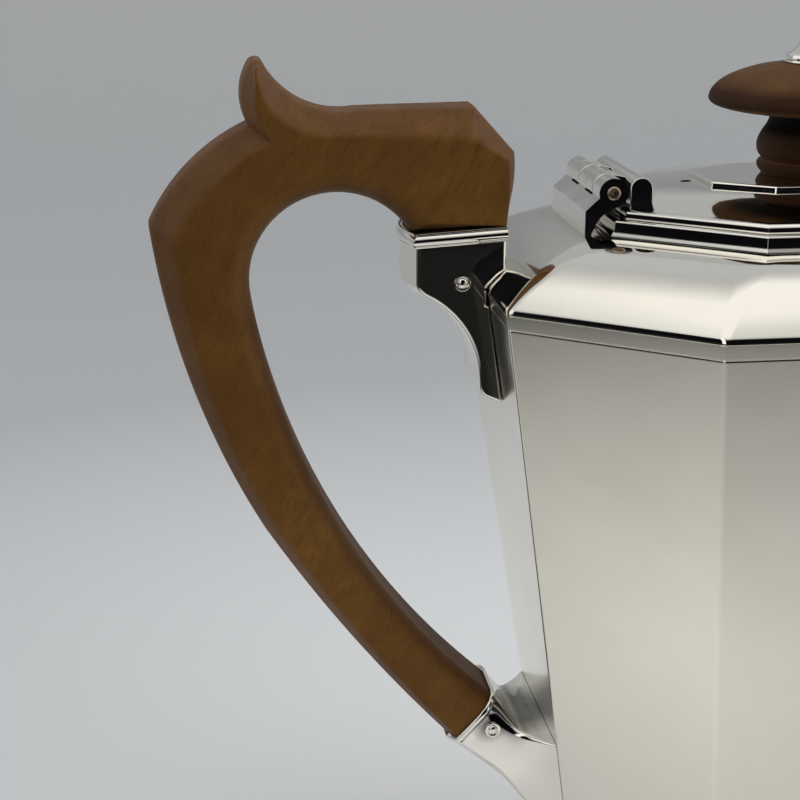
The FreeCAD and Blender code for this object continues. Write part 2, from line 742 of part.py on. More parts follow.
seat_left = (out("seat_out"), above_rim("seat_height"))
seat_right = (out("-neck_inset"), above_rim("seat_height + seat_tilt_rise"))
grip_inner_end = (out("-grip_inner_inset"), above_rim("-grip_inner_depth"))
grip_outer_end = (out("grip_end_out"), above_rim("-grip_end_depth"))
arch_start = (out("arch_out"), above_rim("arch_height"))
nose = (out("-nose_inset"), above_rim("nose_height"))
bevel_top = (out("bevel_run - nose_inset"), above_rim("handle_top"))
spur_foot = (out("spur_start"), above_rim("handle_top - crest_fall"))
spur_front = (out("spur_out"), above_rim("spur_height"))
spur_back = (out("spur_out + spur_width"), above_rim("spur_height - spur_width / 4"))
notch = (out("notch_out"), above_rim("notch_height"))
grip_corner = (out("corner_out"), above_rim("corner_height"))
grip_middle = (out("grip_middle_out"), above_rim("-grip_middle_depth"))
silhouette_corners = [
    grip_inner_end, arch_start, seat_left, seat_right, nose, bevel_top,
    spur_foot, spur_front, spur_back, notch, grip_corner, grip_middle, grip_outer_end,
]
silhouette_bows = {
    0: ("grip_inner_bow", True),
    1: ("arch_bow", True),
    3: ("neck_bow", False),
    6: ("spur_bow", True),
    7: ("spur_width / 4", False),
    8: ("spur_back_bow", False),
    9: ("grip_shoulder_bow", False),
    10: ("grip_upper_bow", False),
    11: ("grip_lower_bow", False),
}


def along(first, second, share):
    return tuple("(%s) + ((%s) - (%s)) * (%s)" % (one, two, one, share) for one, two in zip(first, second))


def seat_point(margin, drop):
    # a point under the upper seat, at a distance from its left end
    run = "(seat_out + neck_inset)"
    x, z = along(seat_left, seat_right, "(%s) / %s" % (margin, run))
    return x, "%s - (%s)" % (z, drop)


def upper_tenon(gap):
    # the tenon's corners, grown by a gap
    left = "tenon_margin - (%s)" % gap
    right = "seat_out + neck_inset - tenon_margin + (%s)" % gap
    drop = "tenon_depth + (%s)" % gap
    low = [seat_point(left, drop), seat_point(right, drop)]
    return [seat_point(left, "-tenon_root")] + low + [seat_point(right, "-tenon_root")]


end_dx = "((%s) - (%s))" % (grip_inner_end[0], grip_outer_end[0])
end_dz = "((%s) - (%s))" % (grip_inner_end[1], grip_outer_end[1])
end_length = "sqrt(%s^2 + %s^2)" % (end_dx, end_dz)
end_bevel = "handle_bevel * 0.4"


def end_point(share_from_outer, reach):
    # a point on the grip's lower end, moved along the grip's axis by a reach
    x, z = along(grip_outer_end, grip_inner_end, share_from_outer)
    share = "(%s) / %s" % (reach, end_length)
    return "%s + %s * %s" % (x, share, end_dz), "%s - %s * %s" % (z, share, end_dx)


def lower_tenon(gap):
    low = "(tenon_margin * 0.6 - (%s)) / %s" % (gap, end_length)
    high = "1 - (tenon_margin * 0.6 - (%s)) / %s" % (gap, end_length)
    reach = "tenon_depth * 0.7 + (%s)" % gap
    return [end_point(low, "-0.5"), end_point(low, reach), end_point(high, reach), end_point(high, "-0.5")]


handle = new_piece("handle")
# where the bevel meets the flat faces: steps from the silhouette's corners in bevel widths, shares of its bows
bevel_steps = {
    4: (-0.4, -0.175), 5: (-0.3, -1.05), 6: (-1, -0.825), 7: (-0.25, -0.15), 8: (0.1, -0.1), 9: (0.825, -0.5),
    10: (1, -0.375), 11: (0.5, 0.3),
}
bevel_bow_shares = {3: 0.4, 6: 1.24, 7: 0.35, 8: 1.7, 9: 0.72, 10: 1.06}
face_corners = list(silhouette_corners)
for index, (step_x, step_z) in bevel_steps.items():
    x, z = silhouette_corners[index]
    face_corners[index] = ("%s + handle_bevel * %g" % (x, step_x), "%s + handle_bevel * %g" % (z, step_z))
face_corners[12] = along(grip_outer_end, grip_inner_end, "%s / %s" % (end_bevel, end_length))
face_bows = {}
for index, (bow, clockwise) in silhouette_bows.items():
    face_bows[index] = ("(%s) * %g" % (bow, bevel_bow_shares.get(index, 1)), clockwise)
half_handle = "handle_thickness / 2"
handle_sections = []
for name, lift, corners, bows in (
    ("far_face", "-" + half_handle, face_corners, face_bows),
    ("far_silhouette", "handle_bevel - " + half_handle, silhouette_corners, silhouette_bows),
    ("near_silhouette", half_handle + " - handle_bevel", silhouette_corners, silhouette_bows),
    ("near_face", half_handle, face_corners, face_bows),
):
    handle_sections.append(outline(new_sketch(handle, name, "XZ_Plane", lift), corners, bows))
blank = loft(handle, "AdditiveLoft", "blank", handle_sections, True)


def edge_spots(index):
    # the middle of a curved outline edge, on both flat faces
    start, finish = [Vector(number(x), 0, number(z)) for x, z in face_corners[index:index + 2]]
    bow, clockwise = face_bows[index]
    run = finish - start
    side = Vector(-run.z, 0, run.x) if clockwise else Vector(run.z, 0, -run.x)
    middle = (start + finish) * 0.5 + side.normalize() * number(bow)
    half = number(half_handle)
    return [middle + Vector(0, half, 0), middle + Vector(0, -half, 0)]


rounding = handle.newObject("PartDesign::Fillet", "rounding")
rounding.Base = (blank, edge_names(blank, edge_spots(0) + edge_spots(1)))
rounding.setExpression("Radius", cells("handle_round"))
doc.recompute()
for name, corners in (("upper_tenon", upper_tenon("0")), ("lower_tenon", lower_tenon("0"))):
    tenon_face = outline(new_sketch(handle, name + "_face", "XZ_Plane"), corners)
    prism(handle, "Pad", name, tenon_face, "tenon_thickness", symmetric=True)
upper_rivet_at = (out("upper_rivet_out"), above_rim("upper_rivet_height"))
lower_rivet_at = end_point("0.5 + lower_rivet_lift / %s" % end_length, "lower_rivet_reach")
for name, (x, z) in (("upper", upper_rivet_at), ("lower", lower_rivet_at)):
    rivet_hole = new_sketch(handle, name + "_rivet_face", "XZ_Plane")
    circle(rivet_hole, x, z, "rivet_radius + rivet_clearance")
    pocket_through(handle, name + "_rivet_hole", rivet_hole, both=True)

# Upper socket, scribed to the shoulder, the lip and the wall

socket_width = "handle_thickness + 2 * socket_lap"
upper_socket = new_piece("upper_socket")
socket_left = out("seat_out - socket_lap - upper_band_proud")
shoulder_meet = cushion_height("neck_inset") + " + scribe_gap"
lip_out = "lip_overhang + scribe_gap"
lip_edge_out = "lip_overhang / 3 + scribe_gap"
toe_wall = "-(%s + solder_gap)" % wall_out("socket_tip_depth")
socket_points = [
    seat_point("socket_lap + upper_band_proud - socket_bulge", "solder_gap"),
    (socket_left + " - socket_bulge", above_rim("socket_corner_height")),
    (out("seat_out - 2"), above_rim("socket_corner_height - 1.6")),
    (out("socket_toe_out"), above_rim("-socket_toe_depth")),
    (toe_wall, above_rim("-socket_tip_depth")),
    ("-(%s + solder_gap)" % wall_out("scribe_gap"), "rim_height - scribe_gap"),
    (out(lip_edge_out), "rim_height - scribe_gap"),
    (out(lip_out), "rim_height + lip_chamfer"),
    (out(lip_out), lip_top + " - lip_overhang / 2"),
    (out(lip_edge_out), lip_top + " + scribe_gap"),
    (out("-neck_inset"), shoulder_meet),
    (out("-neck_inset"), seat_point("seat_out + neck_inset", "solder_gap")[1]),
]
cushion_bow = "0.07 * neck_inset / 2.6"
socket_bows = {1: ("0.5", False), 2: ("socket_ogee_bow", True), 3: ("0.3", False), 9: (cushion_bow, True)}
socket_face = outline(new_sketch(upper_socket, "side_face", "XZ_Plane"), socket_points, socket_bows)
prism(upper_socket, "Pad", "block", socket_face, socket_width, symmetric=True)
socket_half = "(%s) / 2" % socket_width


def outside_bulge(sketch, left, half, bow):
    # all that lies left of a bulging side: it is cut away
    beyond = "%s - %s - cut_margin" % (left, bow)
    wide = "%s + cut_margin" % half
    corners = [(left, "-(%s)" % half), (left, half), (left, wide), (beyond, wide)]
    corners += [(beyond, "-(%s)" % wide), (left, "-(%s)" % wide)]
    return outline(sketch, corners, {0: (bow, True)})


bulge_face = new_sketch(upper_socket, "bulge_face", "XY_Plane")
outside_bulge(bulge_face, socket_left, socket_half, "socket_bulge")
pocket_through(upper_socket, "bulge", bulge_face, both=True)
mortise = outline(new_sketch(upper_socket, "mortise_face", "XZ_Plane"), upper_tenon("tenon_clearance"))
prism(upper_socket, "Pocket", "mortise", mortise, "tenon_thickness + 2 * tenon_clearance", symmetric=True)
socket_hole = new_sketch(upper_socket, "rivet_face", "XZ_Plane")
circle(socket_hole, *upper_rivet_at, "rivet_radius + rivet_clearance")
pocket_through(upper_socket, "rivet_hole", socket_hole, both=True)

upper_socket_band = new_piece("upper_socket_band")
band_run = "seat_out + neck_inset"
band_left = out("seat_out - socket_lap")
band_half = socket_half + " + upper_band_proud"
band_right = out("-neck_inset - upper_band_proud * 0.4")
band_low = above_rim("seat_height - upper_band_height - cut_margin")
band_plan = new_sketch(upper_socket_band, "band_plan", "XY_Plane", band_low)
for left, half, right in ((band_left, band_half, band_right), (socket_left, socket_half, out("-neck_inset"))):
    plan_corners = [(left, "-(%s)" % half), (left, half), (right, half), (right, "-(%s)" % half)]
    outline(band_plan, plan_corners, {0: ("socket_bulge", True)})
prism(upper_socket_band, "Pad", "band", band_plan, "upper_band_height + seat_tilt_rise + 2 * cut_margin")
trim_face = new_sketch(upper_socket_band, "trim_face", "XZ_Plane")
trim_start = "-socket_bulge - cut_margin"
trim_end = band_run + " + cut_margin"
trim_reach = "3 * cut_margin"
for near, far in (("solder_gap", "-" + trim_reach), ("upper_band_height", "upper_band_height + " + trim_reach)):
    trim_corners = [seat_point(trim_start, near), seat_point(trim_end, near)]
    trim_corners += [seat_point(trim_end, far), seat_point(trim_start, far)]
    outline(trim_face, trim_corners)
prism(upper_socket_band, "Pocket", "trim", trim_face, "2 * (%s + cut_margin)" % band_half, symmetric=True)

upper_rivet = new_piece("upper_rivet")
rivet_face = circle(new_sketch(upper_rivet, "rivet_face", "XZ_Plane"), *upper_rivet_at, "rivet_radius")
prism(upper_rivet, "Pad", "rivet", rivet_face, socket_width + " + 2 * rivet_proud", symmetric=True)

# Lower socket: flares from the grip's end to the whole end panel, with a hollow upper edge

lower_socket = new_piece("lower_socket")
grip_fall = math.degrees(math.atan2(-number(end_dx), number(end_dz)))
waist_fall = (grip_fall + wall_lean) / 2
flange_middle = "(flange_top_depth + flange_bottom_depth) / 2"
flange_half = "(flange_bottom_depth - flange_top_depth) / 2"
lean_cosine = math.cos(math.radians(wall_lean))
mouth_x, mouth_z = end_point("0.5", "solder_gap")
throat = tilted_sketch(lower_socket, "throat", mouth_x, mouth_z, grip_fall)
flange_x = "-(%s + solder_gap)" % wall_out(flange_middle)
waist_x = "(%s) + ((%s) - (%s)) * waist_share" % (mouth_x, flange_x, mouth_x)
waist = tilted_sketch(lower_socket, "waist", waist_x, above_rim("-waist_depth"), waist_fall)
flange_z = above_rim("-(%s)" % flange_middle)
flange_foot = tilted_sketch(lower_socket, "flange_foot", flange_x, flange_z, wall_lean)


def socket_section(sketch, halves, half_height, rounding, bevel):
    # rounded upper corners, bevelled lower ones; halves: top and bottom; bevel: up and inward
    top, bottom = halves
    up, inward = bevel
    shoulder_level = "%s - (%s)" % (half_height, rounding)
    right = [(bottom, "-(%s) + %s" % (half_height, up)), (top, shoulder_level)]
    right.append(("%s - (%s)" % (top, rounding), half_height))
    left = [("-(%s)" % x, z) for x, z in reversed(right)]
    foot = "%s - (%s)" % (bottom, inward)
    corners = right + left + [("-(%s)" % foot, "-(%s)" % half_height), (foot, "-(%s)" % half_height)]
    corner_bow = "(%s) * %.6f" % (rounding, 1 - math.sqrt(0.5))
    return outline(sketch, corners, {1: (corner_bow, False), 3: (corner_bow, False)})


def grip_section(sketch, grow):
    # the wood's end section, grown all round
    half = "%s + %s" % (socket_half, grow)
    height = "%s / 2 + socket_lap + %s" % (end_length, grow)
    rounding = "handle_round + socket_lap + %s" % grow
    return socket_section(sketch, (half, half), height, rounding, (end_bevel, "handle_bevel"))


grip_section(throat, "0")
plain_bevel = ("underside_bevel", "underside_bevel")
waist_halves = ("waist_half_width", "waist_half_width")
socket_section(waist, waist_halves, "waist_half_height", "waist_round", plain_bevel)
flange_depths = ("flange_top_depth", "flange_bottom_depth")
flange_halves = tuple("%s - flange_side_margin" % panel_half(depth) for depth in flange_depths)
flange_height = "(%s) / %.6f" % (flange_half, lean_cosine)
socket_section(flange_foot, flange_halves, flange_height, "flange_round", plain_bevel)
loft(lower_socket, "AdditiveLoft", "flare", [throat, waist, flange_foot], False)
lower_mortise = outline(new_sketch(lower_socket, "mortise_face", "XZ_Plane"), lower_tenon("tenon_clearance"))
mortise_width = "tenon_thickness + 2 * tenon_clearance"
prism(lower_socket, "Pocket", "mortise", lower_mortise, mortise_width, symmetric=True)
lower_hole = new_sketch(lower_socket, "rivet_face", "XZ_Plane")
circle(lower_hole, *lower_rivet_at, "rivet_radius + rivet_clearance")
pocket_through(lower_socket, "rivet_hole", lower_hole, both=True)

lower_socket_band = new_piece("lower_socket_band")
band_x, band_z = end_point("0.5", "-lower_band_width")
collar = tilted_sketch(lower_socket_band, "collar", band_x, band_z, grip_fall)
grip_section(collar, "lower_band_proud")
prism(lower_socket_band, "Pad", "band", collar, "lower_band_width")
opening = tilted_sketch(lower_socket_band, "opening", band_x, band_z, grip_fall)
grip_section(opening, "0")
pocket_through(lower_socket_band, "core", opening, both=True)

lower_rivet = new_piece("lower_rivet")
lower_rivet_face = circle(new_sketch(lower_rivet, "rivet_face", "XZ_Plane"), *lower_rivet_at, "rivet_radius")
lower_rivet_length = socket_width + " + 2 * (rivet_proud + socket_flare)"
prism(lower_rivet, "Pad", "rivet", lower_rivet_face, lower_rivet_length, symmetric=True)

# Check every object, then write each piece

doc.recompute()
for item in doc.Objects:
    if "Invalid" in item.State or "Error" in item.State:
        raise RuntimeError("failed object: %s %s" % (item.Label, item.State))
for piece in pieces:
    if piece.Shape.isNull() or not piece.Shape.isValid():
        raise RuntimeError("bad shape: " + piece.Label)
    if len(piece.Shape.Solids) != 1:
        raise RuntimeError("not one solid: %s %d" % (piece.Label, len(piece.Shape.Solids)))

os.makedirs("parts", exist_ok=True)
for piece in pieces:
    piece.Shape.exportStep("parts/%s.step" % piece.Label)
    box = piece.Shape.BoundBox
    print("%-18s %9.1f mm3  x %.1f..%.1f  y %.1f..%.1f  z %.1f..%.1f" % (
        piece.Label, piece.Shape.Volume, box.XMin, box.XMax, box.YMin, box.YMax, box.ZMin, box.ZMax))
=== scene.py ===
import math

import bmesh
import bpy
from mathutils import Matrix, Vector


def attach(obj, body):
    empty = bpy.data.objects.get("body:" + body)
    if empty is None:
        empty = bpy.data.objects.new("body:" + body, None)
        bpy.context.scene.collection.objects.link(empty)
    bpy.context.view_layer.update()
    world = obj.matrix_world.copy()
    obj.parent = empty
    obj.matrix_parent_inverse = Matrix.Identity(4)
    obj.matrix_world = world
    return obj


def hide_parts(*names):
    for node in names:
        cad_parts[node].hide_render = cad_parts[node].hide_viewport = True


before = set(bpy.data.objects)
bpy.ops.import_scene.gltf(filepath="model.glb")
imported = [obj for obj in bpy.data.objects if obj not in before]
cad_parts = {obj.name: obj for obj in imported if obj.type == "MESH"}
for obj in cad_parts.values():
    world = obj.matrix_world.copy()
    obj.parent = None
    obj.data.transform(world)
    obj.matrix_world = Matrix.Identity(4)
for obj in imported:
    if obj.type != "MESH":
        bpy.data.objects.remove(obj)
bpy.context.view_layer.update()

mm = 0.001  # sizes below are millimetres, the scene is metres


# small tools for working in edit mode

startRadius = 20  # of a new circle, before its vertices are moved
mergeDistance = 0.004


def dropSelection():
    if bpy.context.object and bpy.context.object.mode != "OBJECT":
        bpy.ops.object.mode_set(mode="OBJECT")
    bpy.ops.object.select_all(action="DESELECT")


def pick(piece):
    dropSelection()
    piece.select_set(True)
    bpy.context.view_layer.objects.active = piece


def newCircle(name, count, fill):
    dropSelection()
    bpy.ops.mesh.primitive_circle_add(vertices=count, radius=startRadius * mm, fill_type=fill)
    piece = bpy.context.object
    piece.name = name
    piece.data.name = name
    bpy.ops.object.mode_set(mode="EDIT")
    return piece, bmesh.from_edit_mesh(piece.data)


def startOutline(name, points, filled):
    # a circle with one vertex per point, each vertex moved to its point
    piece, mesh = newCircle(name, len(points), "NGON" if filled else "NOTHING")
    place = mesh.verts.layers.int.new("place")
    mesh.verts.ensure_lookup_table()
    for index, point in enumerate(points):
        mesh.verts[index][place] = index
        mesh.verts[index].co = Vector(point) * mm
    bmesh.update_edit_mesh(piece.data)
    return piece


def startLine(name, points):
    # an open line: a circle with one vertex too many, which is taken out
    piece, mesh = newCircle(name, len(points) + 1, "NOTHING")
    mesh.verts.ensure_lookup_table()
    bmesh.ops.delete(mesh, geom=[mesh.verts[len(points)]], context="VERTS")
    mesh.verts.ensure_lookup_table()
    for index, point in enumerate(points):
        mesh.verts[index].co = Vector(point) * mm
    bmesh.update_edit_mesh(piece.data)
    bpy.ops.mesh.select_all(action="SELECT")
    return piece


def extrudeOnto(piece, points):
    bpy.ops.mesh.extrude_region_move()
    mesh = bmesh.from_edit_mesh(piece.data)
    place = mesh.verts.layers.int["place"]
    for vert in mesh.verts:
        if vert.select:
            vert.co = Vector(points[vert[place]]) * mm
    bmesh.update_edit_mesh(piece.data)


def closeMesh():
    bpy.ops.mesh.select_all(action="SELECT")
    bpy.ops.mesh.remove_doubles(threshold=mergeDistance * mm)
    bpy.ops.mesh.normals_make_consistent(inside=False)
    bpy.ops.object.mode_set(mode="OBJECT")


def loft(name, rings, ends="open"):
    # ends: open, capped, or looped back to the first ring
    piece = startOutline(name, rings[0], ends == "capped")
    path = list(rings[1:])
    if ends == "looped":
        path.append(rings[0])
    for ring in path:
        extrudeOnto(piece, ring)
    closeMesh()
    return piece


def turn(name, profile, steps, centre=(0, 0, 0), axis="Z"):
    # profile: (radius, distance along the axis), spun once round
    middle = Vector(centre)
    points = []
    for radius, along in profile:
        spot = (radius, 0, along) if axis == "Z" else (radius, along, 0)
        points.append(Vector(spot) + middle)
    piece = startLine(name, points)
    way = (0, 0, 1) if axis == "Z" else (0, 1, 0)
    bpy.ops.mesh.spin(steps=steps, angle=2 * math.pi, center=middle * mm, axis=way)
    closeMesh()
    return piece


def turnPin(name, spot, end, steps):
    # a pin across the pot, both ends alike; end: (radius, distance from the middle)
    x, z = spot
    line = [(radius, -along) for radius, along in reversed(end)] + end
    return turn(name, line, steps, (x, 0, z), "Y")


def applyAll(piece):
    pick(piece)
    for modifier in list(piece.modifiers):
        bpy.ops.object.modifier_apply(modifier=modifier.name)


def smoothAll(piece):
    pick(piece)
    bpy.ops.object.shade_smooth()


def softenEdges(piece, width, segments, limit):
    # an "edge" below is the bevel's width, its segments and the least angle it takes
    smoothAll(piece)
    edges = piece.modifiers.new("edges", "BEVEL")
    edges.width = width * mm
    edges.segments = segments
    edges.limit_method = "ANGLE"
    edges.angle_limit = math.radians(limit)
    flats = piece.modifiers.new("flats", "WEIGHTED_NORMAL")
    flats.keep_sharp = True
    applyAll(piece)


def thicken(piece, thickness, even=False):
    wall = piece.modifiers.new("sheet", "SOLIDIFY")
    wall.thickness = thickness * mm
    wall.offset = -1
    wall.use_even_offset = even
    applyAll(piece)


def joinInto(piece, others):
    pick(piece)
    for other in others:
        other.select_set(True)
    bpy.ops.object.join()
    return piece


def cutWith(piece, cutter, operation="DIFFERENCE"):
    pick(piece)
    cut = piece.modifiers.new("cut", "BOOLEAN")
    cut.operation = operation
    cut.solver = "EXACT"
    cut.object = cutter
    bpy.ops.object.modifier_apply(modifier=cut.name)
    bpy.data.objects.remove(cutter)


def newDrill(spot, radius, length, sides, turning=(0, 0, 0)):
    dropSelection()
    bpy.ops.mesh.primitive_cylinder_add(
        vertices=sides, radius=radius * mm, depth=length * mm,
        location=Vector(spot) * mm, rotation=turning)
    bpy.ops.object.transform_apply(location=True, rotation=True, scale=True)
    return bpy.context.object


# lines and sections

def smoothLine(points, steps):
    # a smooth line through the points
    line = []
    last = len(points) - 1
    for index in range(last):
        before, after = points[max(index - 1, 0)], points[min(index + 2, last)]
        near = [before, points[index], points[index + 1], after]
        for step in range(steps):
            t = step / steps
            line.append(tuple(
                0.5 * (2 * b + (c - a) * t + (2 * a - 5 * b + 4 * c - d) * t * t
                       + (3 * b - a - 3 * c + d) * t ** 3)
                for a, b, c, d in zip(*near)))
    line.append(tuple(points[last]))
    return line


def smoothSections(sections, steps):
    # rings between the sections, with each corner on a smooth line
    lines = [smoothLine(corner, steps) for corner in zip(*sections)]
    return [list(ring) for ring in zip(*lines)]


def bowLine(start, finish, bow, count):
    # points on an arc from start, without finish; a positive bow leans to the left of the way
    run = Vector(finish) - Vector(start)
    if not bow:
        return [tuple(Vector(start) + run * step / count) for step in range(count)]
    chord = run.length
    way = run / chord
    left = Vector((-way.y, way.x))
    middle = (Vector(start) + Vector(finish)) / 2
    radius = chord * chord / (8 * abs(bow)) + abs(bow) / 2
    half = math.asin(min(chord / 2 / radius, 1))
    line = []
    for step in range(count):
        angle = half * (2 * step / count - 1)
        height = math.copysign(radius * math.cos(angle) - radius + abs(bow), bow)
        line.append(tuple(middle + way * radius * math.sin(angle) + left * height))
    return line


def arcPoints(centre, radius, fromAngle, toAngle, count):
    x, z = centre
    line = []
    for step in range(count):
        angle = math.radians(fromAngle + (toAngle - fromAngle) * step / (count - 1))
        line.append((x + radius * math.cos(angle), z + radius * math.sin(angle)))
    return line


def between(first, last, share):
    return first + (last - first) * share


# eight-sided rings: half length, half width, half end panel, half side panel

rimRing = (55, 46, 24, 28)
baseRing = (39.4, 28.4, 12.3, 19.7)
lidRing = (37.4, 31.7, 15.6, 17.7)
plateRing = (18.9, 12.5, 6.4, 10)
rimHeight = 108


def insetRing(ring, distance):
    length, width, end, side = ring
    slant = math.hypot(length - side, width - end)
    endTurn = (length - side) / (slant + width - end)
    sideTurn = (width - end) / (slant + length - side)
    end, side = end - distance * endTurn, side - distance * sideTurn
    return (length - distance, width - distance, end, side)


def blendRing(first, second, share):
    return tuple(between(one, two, share) for one, two in zip(first, second))


def allQuarters(quarter):
    # the corners of one quarter, carried round the other three
    corners = quarter + [(-x, y) for x, y in reversed(quarter)]
    return corners + [(-x, -y) for x, y in quarter] + [(x, -y) for x, y in reversed(quarter)]


def octagon(ring, height):
    length, width, end, side = ring
    return [(x, y, height) for x, y in allQuarters([(length, end), (side, width)])]


finished = {}


def keep(piece, body, nodes, finish):
    # the piece rides on its body, stands for its CAD nodes and gets its finish
    for old in [layer for layer in piece.data.attributes if layer.name == "place"]:
        piece.data.attributes.remove(old)
    piece.data.materials.clear()
    piece.data.materials.append(finish)
    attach(piece, body)
    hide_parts(*nodes)
    finished[piece.name] = len(piece.data.polygons)
    print("made", piece.name, len(piece.data.polygons), "faces")


# node tools; a "span" below is where a ramp starts and ends, then its two values if not 0 and 1

def feed(tree, node, values):
    # each input gets a link, a colour or a plain value
    for key, value in values.items():
        socket = node.inputs[key]
        if isinstance(value, bpy.types.NodeSocket):
            tree.links.new(value, socket)
        elif socket.type == "RGBA":
            socket.default_value = (*value, 1)
        else:
            socket.default_value = value


def addNode(tree, kind, values, **settings):
    node = tree.nodes.new("ShaderNode" + kind)
    for name, setting in settings.items():
        setattr(node, name, setting)
    feed(tree, node, values)
    return node.outputs


def metres(span):
    return [size * mm for size in span]


def mapped(tree, vector, scale, turning=(0, 0, 0)):
    values = {"Vector": vector, "Scale": scale, "Rotation": turning}
    return addNode(tree, "Mapping", values)["Vector"]


def axes(tree, vector):
    return addNode(tree, "SeparateXYZ", {"Vector": vector})


def noise(tree, vector, scale, detail=3.0, rough=0.5, warp=0.0):
    # the lists of noise values below follow the same order
    values = {"Scale": scale, "Detail": detail, "Roughness": rough, "Distortion": warp}
    return addNode(tree, "TexNoise", {"Vector": vector, **values})["Fac"]


def mathNode(tree, operation, *numbers):
    return addNode(tree, "Math", dict(enumerate(numbers)), operation=operation)[0]


def times(tree, first, second):
    return mathNode(tree, "MULTIPLY", first, second)


def vectorNode(tree, operation, *vectors):
    return addNode(tree, "VectorMath", dict(enumerate(vectors)), operation=operation)


def remap(tree, value, fromLow, fromHigh, toLow=0.0, toHigh=1.0):
    ends = {"From Min": fromLow, "From Max": fromHigh, "To Min": toLow, "To Max": toHigh}
    return addNode(tree, "MapRange", {"Value": value, **ends})["Result"]


def mixColour(tree, share, first, second, blend="MIX"):
    values = {0: share, 6: first, 7: second}  # the colour mix's own sockets
    return addNode(tree, "Mix", values, data_type="RGBA", blend_type=blend)[2]


def fade(tree, value, span, first, second):
    return mixColour(tree, remap(tree, value, *span), first, second)


def tinted(tree, share, colour, tint):
    return mixColour(tree, share, colour, mixColour(tree, 1.0, colour, tint, "MULTIPLY"))


def bumps(tree, height, strength, distance):
    values = {"Height": height, "Strength": strength, "Distance": distance * mm}
    return addNode(tree, "Bump", values)["Normal"]


# node groups shared by the finishes

def newGroup(name, amounts, outputs):
    # takes a place and some amounts, gives values that change over the surface
    group = bpy.data.node_groups.new(name, "ShaderNodeTree")
    sockets = group.interface
    sockets.new_socket("Vector", in_out="INPUT", socket_type="NodeSocketVector")
    for amount in amounts:
        socket = sockets.new_socket(amount, in_out="INPUT", socket_type="NodeSocketFloat")
        socket.default_value = 1.0
    for output in outputs:
        sockets.new_socket(output, in_out="OUTPUT", socket_type="NodeSocketFloat")
    given = group.nodes.new("NodeGroupInput").outputs
    return group, given, group.nodes.new("NodeGroupOutput")


polishSizes = {
    "hairlines": [  # scale and turning of each direction
        ((2600, 60, 60), (0.3, 0.5, 0.9)), ((60, 2200, 60), (0.7, 0.2, 0.4)),
        ((50, 50, 2400), (0.5, 0.8, 0.2))],
    "hairline": (1.0, 2.0), "hairlineSpan": (0.64, 0.76), "hairlineDepth": -0.02,
    "patches": (45.0, 3.0), "patchSpan": (0.45, 0.7), "waves": (38.0, 1.0),
    "smudges": (22.0, 5.0, 0.65, 0.6),
}


def polishMarksGroup():
    # hairline scratches in three directions, soft waves left by the hammer and smudges
    sizes = polishSizes
    tree, given, result = newGroup(
        "polishMarks", ["Scratches", "Waves"], ["Height", "Smudge", "Hairlines"])
    vector = given["Vector"]
    lines = None
    for scale, turning in sizes["hairlines"]:
        streak = noise(tree, mapped(tree, vector, scale, turning), *sizes["hairline"])
        thin = remap(tree, streak, *sizes["hairlineSpan"])
        lines = thin if lines is None else mathNode(tree, "MAXIMUM", lines, thin)
    patches = noise(tree, vector, *sizes["patches"])
    lines = times(tree, lines, remap(tree, patches, *sizes["patchSpan"]))
    dents = times(tree, noise(tree, vector, *sizes["waves"]), given["Waves"])
    cuts = times(tree, lines, given["Scratches"])
    feed(tree, result, {
        "Height": mathNode(tree, "MULTIPLY_ADD", cuts, sizes["hairlineDepth"], dents),
        "Smudge": noise(tree, vector, *sizes["smudges"]), "Hairlines": cuts})
    return tree


grainSizes = {
    "figureScale": (90, 260, 260), "figure": (1.0, 6.0, 0.68, 1.2),
    "poreScale": (420, 2100, 2100), "pores": (1.0, 3.0, 0.6), "poreSpan": (0.52, 0.72),
    "poreDepth": -0.6, "tone": (42.0, 4.0, 0.6),
}


def woodGrainGroup():
    # mottled figure stretched along X, fine pores, slow changes of tone
    sizes = grainSizes
    tree, given, result = newGroup("woodGrain", ["Pores"], ["Figure", "Pore", "Tone", "Height"])
    vector = given["Vector"]
    figure = noise(tree, mapped(tree, vector, sizes["figureScale"]), *sizes["figure"])
    fine = noise(tree, mapped(tree, vector, sizes["poreScale"]), *sizes["pores"])
    pore = times(tree, remap(tree, fine, *sizes["poreSpan"]), given["Pores"])
    feed(tree, result, {
        "Figure": figure, "Pore": pore, "Tone": noise(tree, vector, *sizes["tone"]),
        "Height": mathNode(tree, "MULTIPLY_ADD", pore, sizes["poreDepth"], figure)})
    return tree


polishMarks = polishMarksGroup()
woodGrain = woodGrainGroup()


# finishes

def newFinish(name):
    finish = bpy.data.materials.new(name)
    finish.use_nodes = True
    tree = finish.node_tree
    return finish, tree, tree.nodes["Principled BSDF"], addNode(tree, "TexCoord", {})


silverSizes = {
    "dullSpan": (0.35, 0.75), "roughSpan": (0.3, 0.7), "hairlineRough": 0.06,
    # painted shade: the dark colour and the patchy spread of the shade that a finish may paint on
    "paintedShadeColour": (0.15, 0.145, 0.145), "paintedShadePatches": (0.2, 0.55, 0.4, 1.0),
    "bump": (0.25, 0.4),
}


